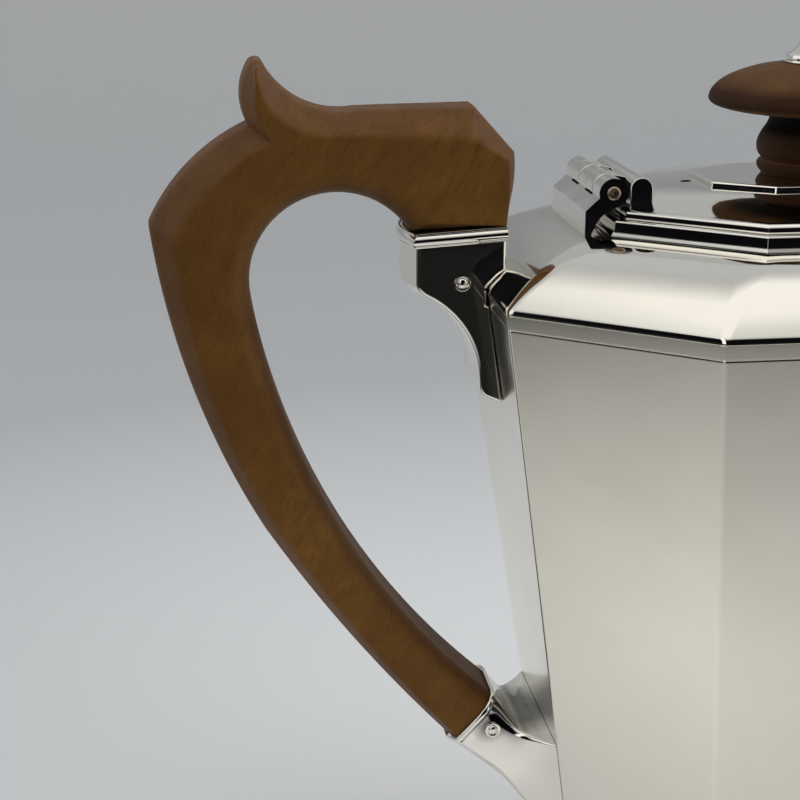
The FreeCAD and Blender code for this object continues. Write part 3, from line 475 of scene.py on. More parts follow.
def silverFinish(name, bright, dull, rough, scratches, waves, paintedShades=()):
    # the last argument gives the places of patches of painted shade (sideways taken both ways),
    # each with its inner and outer reach
    sizes = silverSizes
    finish, tree, shader, coords = newFinish(name)
    amounts = {"Vector": coords["Object"], "Scratches": scratches, "Waves": waves}
    marks = addNode(tree, "Group", amounts, node_tree=polishMarks)
    smudge = marks["Smudge"]
    colour = fade(tree, smudge, sizes["dullSpan"], bright, dull)
    # painted shade: a dark, patchy patch around each place given
    for spot, inner, outer in paintedShades:
        folded = vectorNode(tree, "ABSOLUTE", coords["Object"])["Vector"]
        distance = vectorNode(tree, "DISTANCE", folded, Vector(spot) * mm)["Value"]
        reach = remap(tree, distance, *metres((outer, inner)))
        patchy = times(tree, reach, remap(tree, smudge, *sizes["paintedShadePatches"]))
        colour = mixColour(tree, patchy, colour, sizes["paintedShadeColour"])
    smooth = remap(tree, smudge, *sizes["roughSpan"], *rough)
    scored = mathNode(tree, "MULTIPLY_ADD", marks["Hairlines"], sizes["hairlineRough"], smooth)
    feed(tree, shader, {
        "Base Color": colour, "Metallic": 1.0, "Roughness": scored,
        "Normal": bumps(tree, marks["Height"], *sizes["bump"])})
    return finish


woodSizes = {
    "figureSpan": (0.22, 0.78), "toneSpan": (0.4, 0.62, 0.0, 0.78), "poreShare": 0.4,
    # painted shade: the span and tint on the next line, and the dark colour with its share and ends
    # on the line after
    "sideShadeSpan": (0.93, 0.6), "topShadeTint": (0.84, 0.82, 0.8),
    "paintedShadowColour": (0.004, 0.003, 0.002), "paintedShadowShare": 0.95, "paintedShadowEnds": (1.5, 0.5),
    "roughSpan": (0.3, 0.7), "roughEnds": (-0.05, 0.07), "bump": (0.2, 0.2),
}


def woodFinish(
        name, light, dark, pores, grainTurn, rough, gloss, flatAxis, sideShadeTint,
        paintedShadow=None, topShade=None):
    # the tint after flatAxis darkens, as painted shade, what doesn't face along flatAxis; between
    # the first pair of heights after it lies a near-black painted shadow, and between the second
    # pair the tone falls, as painted shade, towards the top
    sizes = woodSizes
    finish, tree, shader, coords = newFinish(name)
    turned = mapped(tree, coords["Object"], (1, 1, 1), grainTurn)
    grain = addNode(tree, "Group", {"Vector": turned}, node_tree=woodGrain)
    colour = fade(tree, grain["Figure"], sizes["figureSpan"], dark, light)
    colour = fade(tree, grain["Tone"], sizes["toneSpan"], colour, dark)
    colour = mixColour(tree, times(tree, grain["Pore"], sizes["poreShare"]), colour, pores)
    # painted shade: what doesn't face along flatAxis is darkened by the tint
    facing = axes(tree, coords["Normal"])[flatAxis]
    cut = remap(tree, mathNode(tree, "ABSOLUTE", facing), *sizes["sideShadeSpan"])
    colour = tinted(tree, cut, colour, sideShadeTint)
    height = axes(tree, coords["Object"])["Z"]
    # painted shade: the tone falls towards the top, on the flat faces
    if topShade:
        topShading = mathNode(tree, "SUBTRACT", remap(tree, height, *metres(topShade)), cut)
        colour = tinted(tree, topShading, colour, sizes["topShadeTint"])
    # painted shadow: near black between the two heights, fading in above the lower one and out just
    # above the upper one
    if paintedShadow:
        low, high = paintedShadow
        below, above = sizes["paintedShadowEnds"]
        rise = remap(tree, height, *metres((low, low + below)))
        fall = remap(tree, height, *metres((high + above, high)))
        inside = times(tree, times(tree, rise, fall), sizes["paintedShadowShare"])
        colour = mixColour(tree, inside, colour, sizes["paintedShadowColour"])
    ends = [rough + change for change in sizes["roughEnds"]]
    feed(tree, shader, {
        "Base Color": colour, "Specular IOR Level": gloss,
        "Roughness": remap(tree, grain["Tone"], *sizes["roughSpan"], *ends),
        "Normal": bumps(tree, grain["Height"], *sizes["bump"])})
    return finish


brassSizes = {
    "patches": (700.0, 4.0), "toneSpan": (0.35, 0.65), "dark": (0.4, 0.28, 0.2),
    "bright": (0.68, 0.56, 0.45), "roughSpan": (0.3, 0.7, 0.22, 0.42),
}


def brassFinish():
    sizes = brassSizes
    finish, tree, shader, coords = newFinish("agedBrass")
    tone = noise(tree, coords["Object"], *sizes["patches"])
    feed(tree, shader, {
        "Base Color": fade(tree, tone, sizes["toneSpan"], sizes["dark"], sizes["bright"]),
        "Metallic": 1.0, "Roughness": remap(tree, tone, *sizes["roughSpan"])})
    return finish


panelSilver = silverFinish(
    "panelSilver", bright=(0.92, 0.89, 0.795), dull=(0.87, 0.835, 0.73), rough=(0.13, 0.24),
    scratches=1.0, waves=1.0)
brightSilver = silverFinish(
    "brightSilver", bright=(0.93, 0.905, 0.84), dull=(0.88, 0.85, 0.77), rough=(0.04, 0.09),
    scratches=0.6, waves=0.7)
# painted shade on the lower socket: a dark patch on its upper side near the wall, and a painted
# shadow up beside each rivet
shadedSilver = silverFinish(
    "shadedSilver", bright=(0.93, 0.905, 0.84), dull=(0.88, 0.85, 0.77), rough=(0.05, 0.12),
    scratches=0.8, waves=1.0,
    paintedShades=[((48.3, 0.0, 39.5), 8.0, 12.0), ((54.3, 8.8, 34.2), 0.8, 3.2)])
# painted shade on the handle: darker, greyer chamfers and rounds, and a darker top
handleWood = woodFinish(
    "handleWood", light=(0.255, 0.12, 0.022), dark=(0.142, 0.06, 0.009),
    pores=(0.07, 0.028, 0.005), grainTurn=(0.0, 1.05, 0.0), rough=0.54, gloss=0.2,
    flatAxis="Y", sideShadeTint=(0.68, 0.66, 1.0), topShade=(70, 120))
# painted shade on the knob: darker sides, and a near-black painted shadow under its disc
finialWood = woodFinish(
    "finialWood", light=(0.165, 0.082, 0.03), dark=(0.095, 0.043, 0.016),
    pores=(0.035, 0.016, 0.007), grainTurn=(0.0, 0.0, 0.5), rough=0.6, gloss=0.1,
    flatAxis="Z", sideShadeTint=(0.36, 0.32, 0.31), paintedShadow=(133.0, 137.2))
pinBrass = brassFinish()
print("finishes ready")


# body wall: one tapering sheet, pierced behind the spout

bodySizes = {
    "sheet": 1.0, "bottom": 4, "edge": (0.7, 3, 28),
    "holeRadius": 1.5, "holeSides": 24, "drillLength": 24, "strainer": (46, 44),
    "rows": (1, 2, 3, 2, 3, 2, 1), "pitch": 5.5, "rowPitch": 4.785,
}


def makeBodyWall():
    sizes = bodySizes
    bottom, sheet, rows = sizes["bottom"], sizes["sheet"], sizes["rows"]
    rings = [octagon(baseRing, bottom), octagon(rimRing, rimHeight)]
    rings.append(octagon(insetRing(rimRing, sheet), rimHeight))
    rings.append(octagon(insetRing(baseRing, sheet), bottom))
    wall = loft("bodyWall", rings, "looped")
    softenEdges(wall, *sizes["edge"])
    x, middle = sizes["strainer"]
    drills = []
    for row, count in enumerate(rows):
        height = middle + sizes["rowPitch"] * (row - (len(rows) - 1) / 2)
        for column in range(count):
            spot = (x, sizes["pitch"] * (column - (count - 1) / 2), height)
            drills.append(newDrill(
                spot, sizes["holeRadius"], sizes["drillLength"], sizes["holeSides"],
                (0, math.pi / 2, 0)))
    cutWith(wall, joinInto(drills[0], drills[1:]))
    keep(wall, "pot", ["body_wall"], panelSilver)


makeBodyWall()


# spreading foot rim

footSizes = {
    "spread": 2.2, "land": 3.5, "top": 3.0, "edge": (0.25, 2, 32),
    "ogee": [  # in from the spread, height
        (0, 0), (0, 0.85), (0.35, 1.15), (0.9, 1.4), (1.35, 1.75), (1.7, 2.2), (2.0, 2.65)],
    "neck": 0.12,
}


def makeFoot():
    sizes = footSizes
    land, top = sizes["land"], sizes["top"]
    profile = [(sizes["spread"] - back, height) for back, height in sizes["ogee"]]
    profile += [(sizes["neck"], top), (-land, top), (-land, 0)]
    rings = [octagon(insetRing(baseRing, -out), height) for out, height in profile]
    foot = loft("footRim", rings, "looped")
    softenEdges(foot, *sizes["edge"])
    keep(foot, "pot", ["foot_rim"], brightSilver)


makeFoot()


# lip band under the shoulder's rolled edge

lipSizes = {
    "bottomOut": 0.04, "bottomLift": 0.02, "topOut": 0.36, "height": 2.05, "sheet": 0.6,
    "edge": (0.1, 2, 28),
}


def makeLip():
    sizes = lipSizes
    height, sheet = sizes["height"], sizes["sheet"]
    profile = [(0, 0), (sizes["bottomOut"], sizes["bottomLift"]), (sizes["topOut"], height)]
    profile += [(-sheet, height), (-sheet, 0)]
    rings = [octagon(insetRing(rimRing, -out), rimHeight + rise) for out, rise in profile]
    lip = loft("rimLip", rings, "looped")
    softenEdges(lip, *sizes["edge"])
    keep(lip, "pot", ["rim_moulding"], panelSilver)


makeLip()


# cushion shoulder: rolled lower edge, rising arc, flat land, mouth

shoulderSizes = {
    "roll": 1.4, "rollStart": -14, "rollSteps": 6, "inset": 0.06, "start": 3.3, "rise": 8.7,
    "startSlope": 48, "endSlope": 5, "arcSteps": 16, "ridge": (2.6, 9.0), "ridgeSteps": 6,
    "mouth": 3.2, "mouthEdge": 0.5, "mouthLift": 0.02, "mouthDrop": 0.3, "sheet": 0.9,
    "edge": (0.2, 2, 40),
}


def softOctagon(ring, height, radius):
    # an octagon whose corners are turned in short arcs
    corners = [Vector(corner) for corner in octagon(ring, height)]
    steps = shoulderSizes["ridgeSteps"]
    line = []
    for index, corner in enumerate(corners):
        before = (corners[index - 1] - corner).normalized()
        after = (corners[(index + 1) % len(corners)] - corner).normalized()
        half = before.angle(after) / 2
        middle = corner + (before + after).normalized() * (radius / math.sin(half))
        first = corner + before * (radius / math.tan(half)) - middle
        last = corner + after * (radius / math.tan(half)) - middle
        for step in range(steps + 1):
            line.append(tuple(middle + first.slerp(last, step / steps) * radius))
    return line


def makeShoulder():
    sizes = shoulderSizes
    base = rimHeight + sizes["start"]
    top = base + sizes["rise"]
    first, last = math.radians(sizes["startSlope"]), math.radians(sizes["endSlope"])
    lowRidge, highRidge = sizes["ridge"]
    rings = []
    for step in range(sizes["rollSteps"]):  # from just under the widest line up to the arc
        share = step / sizes["rollSteps"]
        lift = between(math.radians(sizes["rollStart"]), math.radians(90) - first, share)
        out = sizes["roll"] * (math.cos(lift) - math.sin(first)) - sizes["inset"]
        drop = sizes["roll"] * (math.cos(first) - math.sin(lift))
        rings.append(softOctagon(insetRing(rimRing, -out), base - drop, lowRidge))
    for step in range(sizes["arcSteps"] + 1):
        slope = between(first, last, step / sizes["arcSteps"])
        run = (math.sin(first) - math.sin(slope)) / (math.sin(first) - math.sin(last))
        rise = (math.cos(slope) - math.cos(first)) / (math.cos(last) - math.cos(first))
        ring = blendRing(insetRing(rimRing, sizes["inset"]), lidRing, run)
        height = base + sizes["rise"] * rise
        rings.append(softOctagon(ring, height, between(lowRidge, highRidge, run)))
    landRing = insetRing(lidRing, sizes["mouth"] - sizes["mouthEdge"])
    mouthRing = insetRing(lidRing, sizes["mouth"])
    rings.append(softOctagon(landRing, top + sizes["mouthLift"], highRidge))
    rings.append(softOctagon(mouthRing, top - sizes["mouthDrop"], highRidge))
    shell = loft("shoulder", rings)
    thicken(shell, sizes["sheet"], even=True)
    softenEdges(shell, *sizes["edge"])
    keep(shell, "pot", ["shoulder"], brightSilver)


makeShoulder()


# spout: eight-sided sections, half height and half width at each station

spoutSizes = {
    "stations": [  # x, z, rise angle, half height, half width
        (45.4, 44, -8.5, 22, 12), (64, 60, 38, 12.5, 9), (84, 90, 62, 7.4, 7),
        (104.06, 114, 50, 5.8, 5.6)],
    "corner": 0.55, "wall": 1.0, "steps": 7, "edge": (0.7, 3, 24),
}


def spoutRing(station, inset):
    x, z, angle, halfHeight, halfWidth = station
    turning = math.radians(angle)
    high, wide = halfHeight - inset, halfWidth - inset
    cut = spoutSizes["corner"] * wide
    corners = allQuarters([(wide, high - cut), (wide - cut, high)])
    return [(x - v * math.sin(turning), u, z + v * math.cos(turning)) for u, v in corners]


def makeSpout():
    sizes = spoutSizes
    outside, inside = (
        smoothSections([spoutRing(station, inset) for station in sizes["stations"]], sizes["steps"])
        for inset in (0, sizes["wall"]))
    spout = loft("spout", outside + inside[::-1], "looped")
    softenEdges(spout, *sizes["edge"])
    keep(spout, "pot", ["spout"], brightSilver)


makeSpout()
print("body, foot, lip, shoulder and spout done")


# lid: edge with a flared foot, stepped top with a bead and a crowned slope, steam hole

lidBottom, lidLedge = 120.3, 122.7
lidEdgeSizes = {
    "foot": 0.22, "inside": 4.0, "rebate": 2.4, "edge": (0.35, 3, 24),
    "line": [  # inset, rise from the foot
        (0.06, 0.0), (0.0, 0.05), (0.04, 0.14), (0.14, 0.34), (0.3, 0.6), (0.46, 0.9), (0.56, 1.2),
        (0.6, 1.5), (0.62, 1.95), (0.68, 2.22), (0.85, 2.45), (1.15, 2.59), (1.6, 2.62)],
}
lidTopSizes = {
    "step": 2.55, "skirt": [(-0.25, 0.02), (0.0, 0.12)],  # in from the step, height from the ledge
    "bead": 0.95, "beadLift": 0.36, "beadTurn": (-10, 116), "beadSteps": 7,
    "groove": [(1.65, 1.16), (2.1, 1.3)], "crown": 126.1, "flatReach": 0.02,
    "slope": [  # share of the way to the plate, lift of the crowned slope
        (0.15, 0.26), (0.32, 0.45), (0.5, 0.52), (0.7, 0.42), (0.86, 0.23), (1.0, 0.0)],
    "sheet": 0.9, "edge": (0.18, 3, 30),
    "vent": (-21.2, 0, 125), "ventRadius": 0.9, "ventSides": 32, "drillLength": 8,
}


def makeLidEdge():
    sizes = lidEdgeSizes
    foot = lidBottom - sizes["foot"]
    profile = [(inset, foot + rise) for inset, rise in sizes["line"]]
    profile += [(sizes["inside"], lidLedge), (sizes["inside"], lidBottom)]
    profile.append((sizes["rebate"], lidBottom))
    rings = [octagon(insetRing(lidRing, inset), height) for inset, height in profile]
    edge = loft("lidEdge", rings, "looped")
    softenEdges(edge, *sizes["edge"])
    keep(edge, "lid", ["lid_moulding"], brightSilver)


def fillFlat(piece, height):
    # a face over the open ring that lies above the height
    pick(piece)
    bpy.ops.object.mode_set(mode="EDIT")
    bpy.ops.mesh.select_all(action="DESELECT")
    mesh = bmesh.from_edit_mesh(piece.data)
    for vert in mesh.verts:
        vert.select_set(vert.co.z > height * mm)
    mesh.select_flush(True)
    bmesh.update_edit_mesh(piece.data)
    bpy.ops.mesh.edge_face_add()
    bpy.ops.object.mode_set(mode="OBJECT")


def makeLidTop():
    sizes = lidTopSizes
    bead, step = sizes["bead"], sizes["step"]
    fromAngle, toAngle = sizes["beadTurn"]
    line = list(sizes["skirt"])
    for part in range(sizes["beadSteps"] + 1):  # up, over and down into a shallow groove
        lift = math.radians(between(fromAngle, toAngle, part / sizes["beadSteps"]))
        line.append((bead - bead * math.cos(lift), sizes["beadLift"] + bead * math.sin(lift)))
    line += sizes["groove"]
    profile = [(step + inset, lidLedge + rise) for inset, rise in line]
    rings = [octagon(insetRing(lidRing, inset), height) for inset, height in profile]
    startInset, startHeight = profile[-1]
    start = insetRing(lidRing, startInset)
    for share, lift in sizes["slope"]:
        height = between(startHeight, sizes["crown"], share) + lift
        rings.append(octagon(blendRing(start, plateRing, share), height))
    top = loft("lidTop", rings)
    fillFlat(top, sizes["crown"] - sizes["flatReach"])
    thicken(top, sizes["sheet"])
    softenEdges(top, *sizes["edge"])
    drill = newDrill(
        sizes["vent"], sizes["ventRadius"], sizes["drillLength"], sizes["ventSides"])
    cutWith(top, drill)
    keep(top, "lid", ["lid_shell"], brightSilver)


makeLidEdge()
makeLidTop()


# finial: plate, turned wood knob, silver button

plateSizes = {"bottom": 125.7, "top": 126.9, "edge": (0.38, 3, 28)}
knobSizes = {
    "line": [  # radius, height
        (1.6, 126.95), (7.6, 126.95), (8.2, 127.15), (8.75, 127.8), (8.95, 128.45), (8.8, 129.0),
        (8.3, 129.35), (8.2, 129.55), (8.6, 129.9), (9.0, 130.7), (9.1, 131.7), (8.9, 132.7),
        (8.3, 133.9), (7.6, 135.0), (7.3, 135.8), (7.4, 136.45), (9.2, 136.9), (12.0, 137.25),
        (14.4, 137.6), (15.9, 137.95), (16.8, 138.35), (17.25, 138.95), (17.2, 139.6),
        (16.8, 140.5), (15.9, 141.5), (14.6, 142.4), (13.0, 143.15), (11.2, 143.8), (9.0, 144.4),
        (6.0, 144.85), (1.6, 145.05)],
    "steps": 96, "smooth": 3,
}
buttonSizes = {
    "line": [  # radius, height
        (0.0, 144.85), (4.9, 144.95), (5.2, 145.3), (5.25, 145.9), (5.05, 146.35), (4.4, 146.6),
        (3.9, 147.0), (3.3, 147.9), (2.75, 148.9), (2.4, 149.6), (2.3, 150.0), (2.45, 150.5),
        (2.4, 151.2), (2.0, 151.9), (1.2, 152.35), (0.0, 152.5)],
    "steps": 64, "smooth": 3,
}


def makePlate():
    rings = [octagon(plateRing, plateSizes["bottom"]), octagon(plateRing, plateSizes["top"])]
    plate = loft("finialPlate", rings, "capped")
    softenEdges(plate, *plateSizes["edge"])
    keep(plate, "lid", ["finial_plate"], brightSilver)


def makeTurned(name, sizes, node, finish):
    piece = turn(name, smoothLine(sizes["line"], sizes["smooth"]), sizes["steps"])
    smoothAll(piece)
    keep(piece, "lid", [node], finish)


makePlate()
makeTurned("finialKnob", knobSizes, "finial_knob", finialWood)
makeTurned("finialButton", buttonSizes, "finial_button", brightSilver)
print("lid and finial done")


# hinge: fixed stand with three knuckles, lid leaf with two, pin

hingeSizes = {
    "axis": (-36.2, 126.3), "half": 12, "knuckle": 4.8, "radius": 2.35, "gap": 0.1,
    "standKnuckles": (0, 2, 4), "leafKnuckles": (1, 3), "edge": (0.16, 3, 30),
}
standSizes = {  # places are counted from the axis
    "barrel": (-80, 197, 34),  # from angle, to angle, points
    "back": [(-4.38, -2.62), (-4.5, -2.85), (-4.5, -6.78), (-3.5, -6.6)],
    "belly": [(-2.88, -5.0), (-1.9, -3.65), (-0.75, -2.75)],
    "scoopGap": 0.28, "scoop": (245, 199.9, 8), "webBelly": 2,
}
leafSizes = {
    "inner": 2.65, "width": 3.6, "feet": (123.7, 124.1), "humpLift": 0.55, "hump": (0, 180, 17),
    "lug": (75, 290, 30), "lugRoot": [(0.9, -1.2), (0.9, 1.7)],
}
pinSizes = {
    "radius": 0.85, "half": 12.3, "steps": 40, "edge": (0.05, 2, 35),
    "end": [  # share of the radius, distance from the end
        (1.25, -0.4), (1.25, -0.2), (1.05, -0.05), (0.7, -0.02), (0.35, -0.1), (0, -0.12)],
}


def slab(name, outline, near, far):
    # an outline in the XZ plane, drawn out along Y
    return loft(name, [[(x, y, z) for x, z in outline] for y in (near, far)], "capped")


def knuckleSpan(index, gap):
    start = hingeSizes["knuckle"] * index - hingeSizes["half"]
    return start + gap, start + hingeSizes["knuckle"] - gap


def makeStand():
    sizes = standSizes
    axis, radius = hingeSizes["axis"], hingeSizes["radius"]
    half, gap = hingeSizes["half"], hingeSizes["gap"]
    barrel = arcPoints(axis, radius, *sizes["barrel"])
    scoop = arcPoints(axis, radius + sizes["scoopGap"], *sizes["scoop"])
    back, belly = (
        [(axis[0] + x, axis[1] + z) for x, z in sizes[part]] for part in ("back", "belly"))
    stands = []
    for index in hingeSizes["standKnuckles"]:  # fixed knuckles are one with the stand
        near, far = knuckleSpan(index, gap)
        if index == hingeSizes["standKnuckles"][0]:
            near = -half
        if index == hingeSizes["standKnuckles"][-1]:
            far = half
        stands.append(slab("hingeStand", barrel + back + belly, near, far))
    for index in hingeSizes["leafKnuckles"]:  # the plate runs on below the lid's knuckles
        outline = scoop + back + belly[:sizes["webBelly"]]
        stands.append(slab("hingeStandWeb", outline, *knuckleSpan(index, -gap)))
    stand = stands[0]
    for other in stands[1:]:
        cutWith(stand, other, "UNION")
    softenEdges(stand, *hingeSizes["edge"])
    keep(stand, "pot", ["hinge_stand"], brightSilver)


def makeLeaf():
    sizes = leafSizes
    x, z = hingeSizes["axis"]
    half, inner = hingeSizes["half"], x + sizes["inner"]
    outer = inner + sizes["width"]
    feet = list(zip((inner, outer), sizes["feet"]))
    humpCentre = ((inner + outer) / 2, z + sizes["humpLift"])
    hump = arcPoints(humpCentre, sizes["width"] / 2, *sizes["hump"])
    lug = arcPoints((x, z), hingeSizes["radius"], *sizes["lug"])
    lug += [(inner + out, z + rise) for out, rise in sizes["lugRoot"]]
    leaves = [slab("hingeLeaf", feet + hump, -half, half)]
    for index in hingeSizes["leafKnuckles"]:
        leaves.append(slab("hingeLug", lug, *knuckleSpan(index, hingeSizes["gap"])))
    for piece in leaves:
        softenEdges(piece, *hingeSizes["edge"])
    leaf = joinInto(leaves[0], leaves[1:])
    keep(leaf, "lid", ["hinge_lid_leaf"], brightSilver)


def makePin():
    sizes = pinSizes
    end = [(share * sizes["radius"], sizes["half"] + along) for share, along in sizes["end"]]
    pin = turnPin("hingePin", hingeSizes["axis"], end, sizes["steps"])
    softenEdges(pin, *sizes["edge"])
    keep(pin, "pot", ["hinge_pin"], pinBrass)


makeStand()
makeLeaf()
makePin()
print("hinge done")


# wood handle: the silhouette in the middle and the flat faces, with bevels between them

handleSizes = {
    "half": 8.0, "round": 3.6, "rounded": (0, 1), "edge": (0.35, 3, 24),
    "section": [  # share of the way from the flat face to the silhouette, distance from the middle
        (-0.24, 8.0), (-0.1, 7.94), (0.02, 7.77), (0.13, 7.45), (0.26, 6.98), (0.45, 6.2),
        (0.74, 5.05), (0.86, 4.5), (0.94, 3.95), (0.985, 3.3), (1.0, 2.5)],
    # silhouette, flat face (x and height from the rim), bows of the edges that follow, steps
    "corners": [
        ((-52.7, -69.7), (-52.7, -69.7), 7.2, 7.2, 40),
        ((-92.8, 1.9), (-92.8, 1.9), 11.2, 11.2, 26),
        ((-67.5, 11.85), (-67.5, 11.85), 0, 0, 1), ((-52.4, 12.8), (-52.4, 12.8), -0.8, -0.3, 8),
        ((-50.5, 23.9), (-52.1, 23.2), 0, 0, 1), ((-57.0, 31.2), (-58.2, 27.0), 0, 0, 4),
        ((-75.5, 30.9), (-79.5, 27.6), 2.75, 3.4, 14),
        ((-90.2, 38.5), (-91.2, 37.9), -0.55, -0.2, 10),
        ((-92.4, 38.0), (-91.5, 35.2), -1.15, -1.0, 10),
        ((-92.7, 28.8), (-89.4, 26.8), -1.95, -1.4, 14),
        ((-108.5, 13.3), (-104.5, 11.8), -2.73, -2.9, 28),
        ((-91.3, -37.7), (-89.3, -36.5), -1.23, -1.2, 22),
        ((-59.9, -77.4), (-58.8, -76.2), 0, 0, 1)],
}


def handleOutline(which):
    # which: 0 for the silhouette, 1 for the flat face; owners: the corner that each point follows
    line, owners = [], []
    corners = handleSizes["corners"]
    for index, corner in enumerate(corners):
        follow = corners[(index + 1) % len(corners)]
        bows, steps = corner[2:4], corner[4]
        edge = bowLine(corner[which], follow[which], bows[which], steps)
        line += [(x, z + rimHeight) for x, z in edge]
        owners += [index] * len(edge)
    return line, owners


def makeHandle():
    sizes = handleSizes
    silhouette, owners = handleOutline(0)
    face = handleOutline(1)[0]
    inner = {index for index, owner in enumerate(owners) if owner in sizes["rounded"]}
    inner.add(max(inner) + 1)
    inward = {}
    for index in inner:  # square to the outline, into the wood
        before = face[index - 1] if index else face[0]
        after = face[index + 1] if index < max(inner) else face[index]
        run = Vector((after[0] - before[0], after[1] - before[1])).normalized()
        inward[index] = Vector((-run.y, run.x))

    def ring(share, y):
        # one outline at y, with the inner edges pulled in along a round
        past = max(0.0, abs(y) - sizes["half"] + sizes["round"])
        pull = sizes["round"] - math.sqrt(sizes["round"] ** 2 - past ** 2)
        line = []
        for index, spot in enumerate(face):
            spot = Vector(spot).lerp(Vector(silhouette[index]), share)
            if index in inner:
                spot += inward[index] * pull
            line.append((spot.x, y, spot.y))
        return line

    near = [ring(share, -y) for share, y in sizes["section"]]
    far = [ring(share, y) for share, y in reversed(sizes["section"])]
    handle = loft("handle", near + far, "capped")
    softenEdges(handle, *sizes["edge"])
    keep(handle, "pot", ["handle"], handleWood)


makeHandle()
print("handle done")


# rivets: a ring and a low dome at each end

rivetSizes = {
    "radius": 1.05, "steps": 32, "smoothAngle": 40,
    "end": [  # share of the radius, height over the socket's side
        (1.25, -0.6), (1.25, 0.06), (1.1625, 0.1), (0.88, 0.04), (0.8, -0.05), (0.72, 0.1),
        (0.55, 0.24), (0.3, 0.31), (0, 0.33)],
}


def makeRivet(name, spot, half, node):
    sizes = rivetSizes
    x, z = spot
    end = [(share * sizes["radius"], half + rise) for share, rise in sizes["end"]]
    rivet = turnPin(name, (x, rimHeight + z), end, sizes["steps"])
    pick(rivet)
    bpy.ops.object.shade_smooth_by_angle(angle=math.radians(sizes["smoothAngle"]))
    keep(rivet, "pot", [node], brightSilver)


# upper socket: scribed to the shoulder and wall, bead at the wood

upperSizes = {  # x and height from the rim, down the front and up the scribed back
    "front": [(-66.6, 11.8), (-66.6, 3.6), (-66.25, 2.6), (-65.5, 1.9)],
    "ogee": ((-65.3, 1.75), (-56.45, -12.2), 2.3, 12),  # start, end, bow, points
    "toe": [
        (-56.4, -12.7), (-56.35, -13.8), (-56.15, -14.6), (-55.6, -15.15), (-54.2, -15.8),
        (-52.6, -16.45)],
    "scribe": [
        (-55.0, -0.2), (-55.38, 0.1), (-55.45, 2.2), (-55.4, 2.7), (-55.05, 3.3), (-53.7, 4.7),
        (-52.4, 5.72), (-52.4, 12.75)],
    "half": 8.2, "slices": (-8.2, -6.6, -4.4, -2.2, 0, 2.2, 4.4, 6.6, 8.2), "bulge": 1.7,
    "edge": (1.05, 4, 60), "rivet": (-59.4, 3.8),
}
upperBandSizes = {
    "seat": ((-67.5, 11.85), (-52.4, 12.8)), "frontShare": 0.06, "frontSteps": 6, "backShare": 0.3,
    "line": [  # out from the socket, down from the seat
        (0.0, 0.05), (0.3, 0.05), (0.34, 0.3), (0.18, 0.42), (0.5, 0.7), (0.68, 1.1), (0.7, 1.35),
        (0.6, 1.7), (0.3, 2.0), (0.42, 2.15), (0.3, 2.35), (0.0, 2.35)],
    "edge": (0.12, 2, 30),
}


def makeUpperSocket():
    sizes = upperSizes
    front, ogee = sizes["front"], bowLine(*sizes["ogee"])
    outline = front + ogee + sizes["toe"] + sizes["scribe"]
    shares = [1.0] * len(front)  # of the bulge, less and less down the ogee
    shares += [1 - (index + 1) / (len(ogee) + 1) for index in range(len(ogee))]
    shares += [0.0] * (len(outline) - len(shares))
    rings = []
    for y in sizes["slices"]:
        swell = sizes["bulge"] * (1 - (y / sizes["half"]) ** 2)
        rings.append([
            (x - swell * share, y, rimHeight + z) for (x, z), share in zip(outline, shares)])
    socket = loft("upperSocket", rings, "capped")
    softenEdges(socket, *sizes["edge"])
    keep(socket, "pot", ["upper_socket"], brightSilver)


def makeUpperBand():
    sizes = upperBandSizes
    (frontX, frontZ), (backX, backZ) = sizes["seat"]
    steps, start = sizes["frontSteps"], sizes["frontShare"]
    rings = []
    for out, drop in sizes["line"]:
        half, base = upperSizes["half"] + out, rimHeight - drop
        ring = []
        for step in range(-steps, steps + 1):  # convex handle side
            swell = upperSizes["bulge"] * (1 - (step / steps) ** 2)
            x = between(frontX, backX, start) - swell - out
            ring.append((x, half * step / steps, base + between(frontZ, backZ, start)))
        for y in (half, -half):
            ring.append((backX + out * sizes["backShare"], y, base + backZ))
        rings.append(ring)
    band = loft("upperBand", rings, "looped")
    softenEdges(band, *sizes["edge"])
    keep(band, "pot", ["upper_socket_band"], brightSilver)


makeUpperSocket()
makeUpperBand()
makeRivet("upperRivet", upperSizes["rivet"], upperSizes["half"], "upper_rivet")


# lower socket: flares from the grip's section to the end panel, hollow on its upper side

lowerSizes = {
    # centre x and height from the rim, slope, half height, half widths, top rounding, lower bevel
    "stations": [
        ((-56.27, -73.58), -43, 5.47, 8.2, 8.2, 3.6, (1.6, 4.0)),
        ((-54.9, -74.9), -39.5, 5.2, 8.3, 8.3, 2.9, (1.4, 3.2)),
        ((-50.54, -78.6), -20, 4.55, 9.6, 9.3, 1.2, (0.9, 1.0)),
        ((-46.4, -81.7), -4, 6.9, 12.6, 11.0, 0.7, (0.8, 0.8)),
        ((-42.35, -84.55), 8.5, 10.05, 15.15, 12.9, 0.5, (0.6, 0.6))],
    "steps": 6, "bevelMiddle": (0.4, 0.55), "sideShares": (0.33, 0.67), "roundSteps": 4,
    "groove": 0.3, "edge": (0.2, 2, 34), "rivet": (-53.46, -74.3), "rivetHalf": 8.75,
}
lowerBandSizes = {
    "line": [  # out from the socket, back towards the grip
        (0.02, 0.12), (0.315, 0.14), (0.45, 0.36), (0.45, 0.825), (0.27, 1.1), (0.02, 1.1)],
    "edge": (0.1, 2, 40),
}


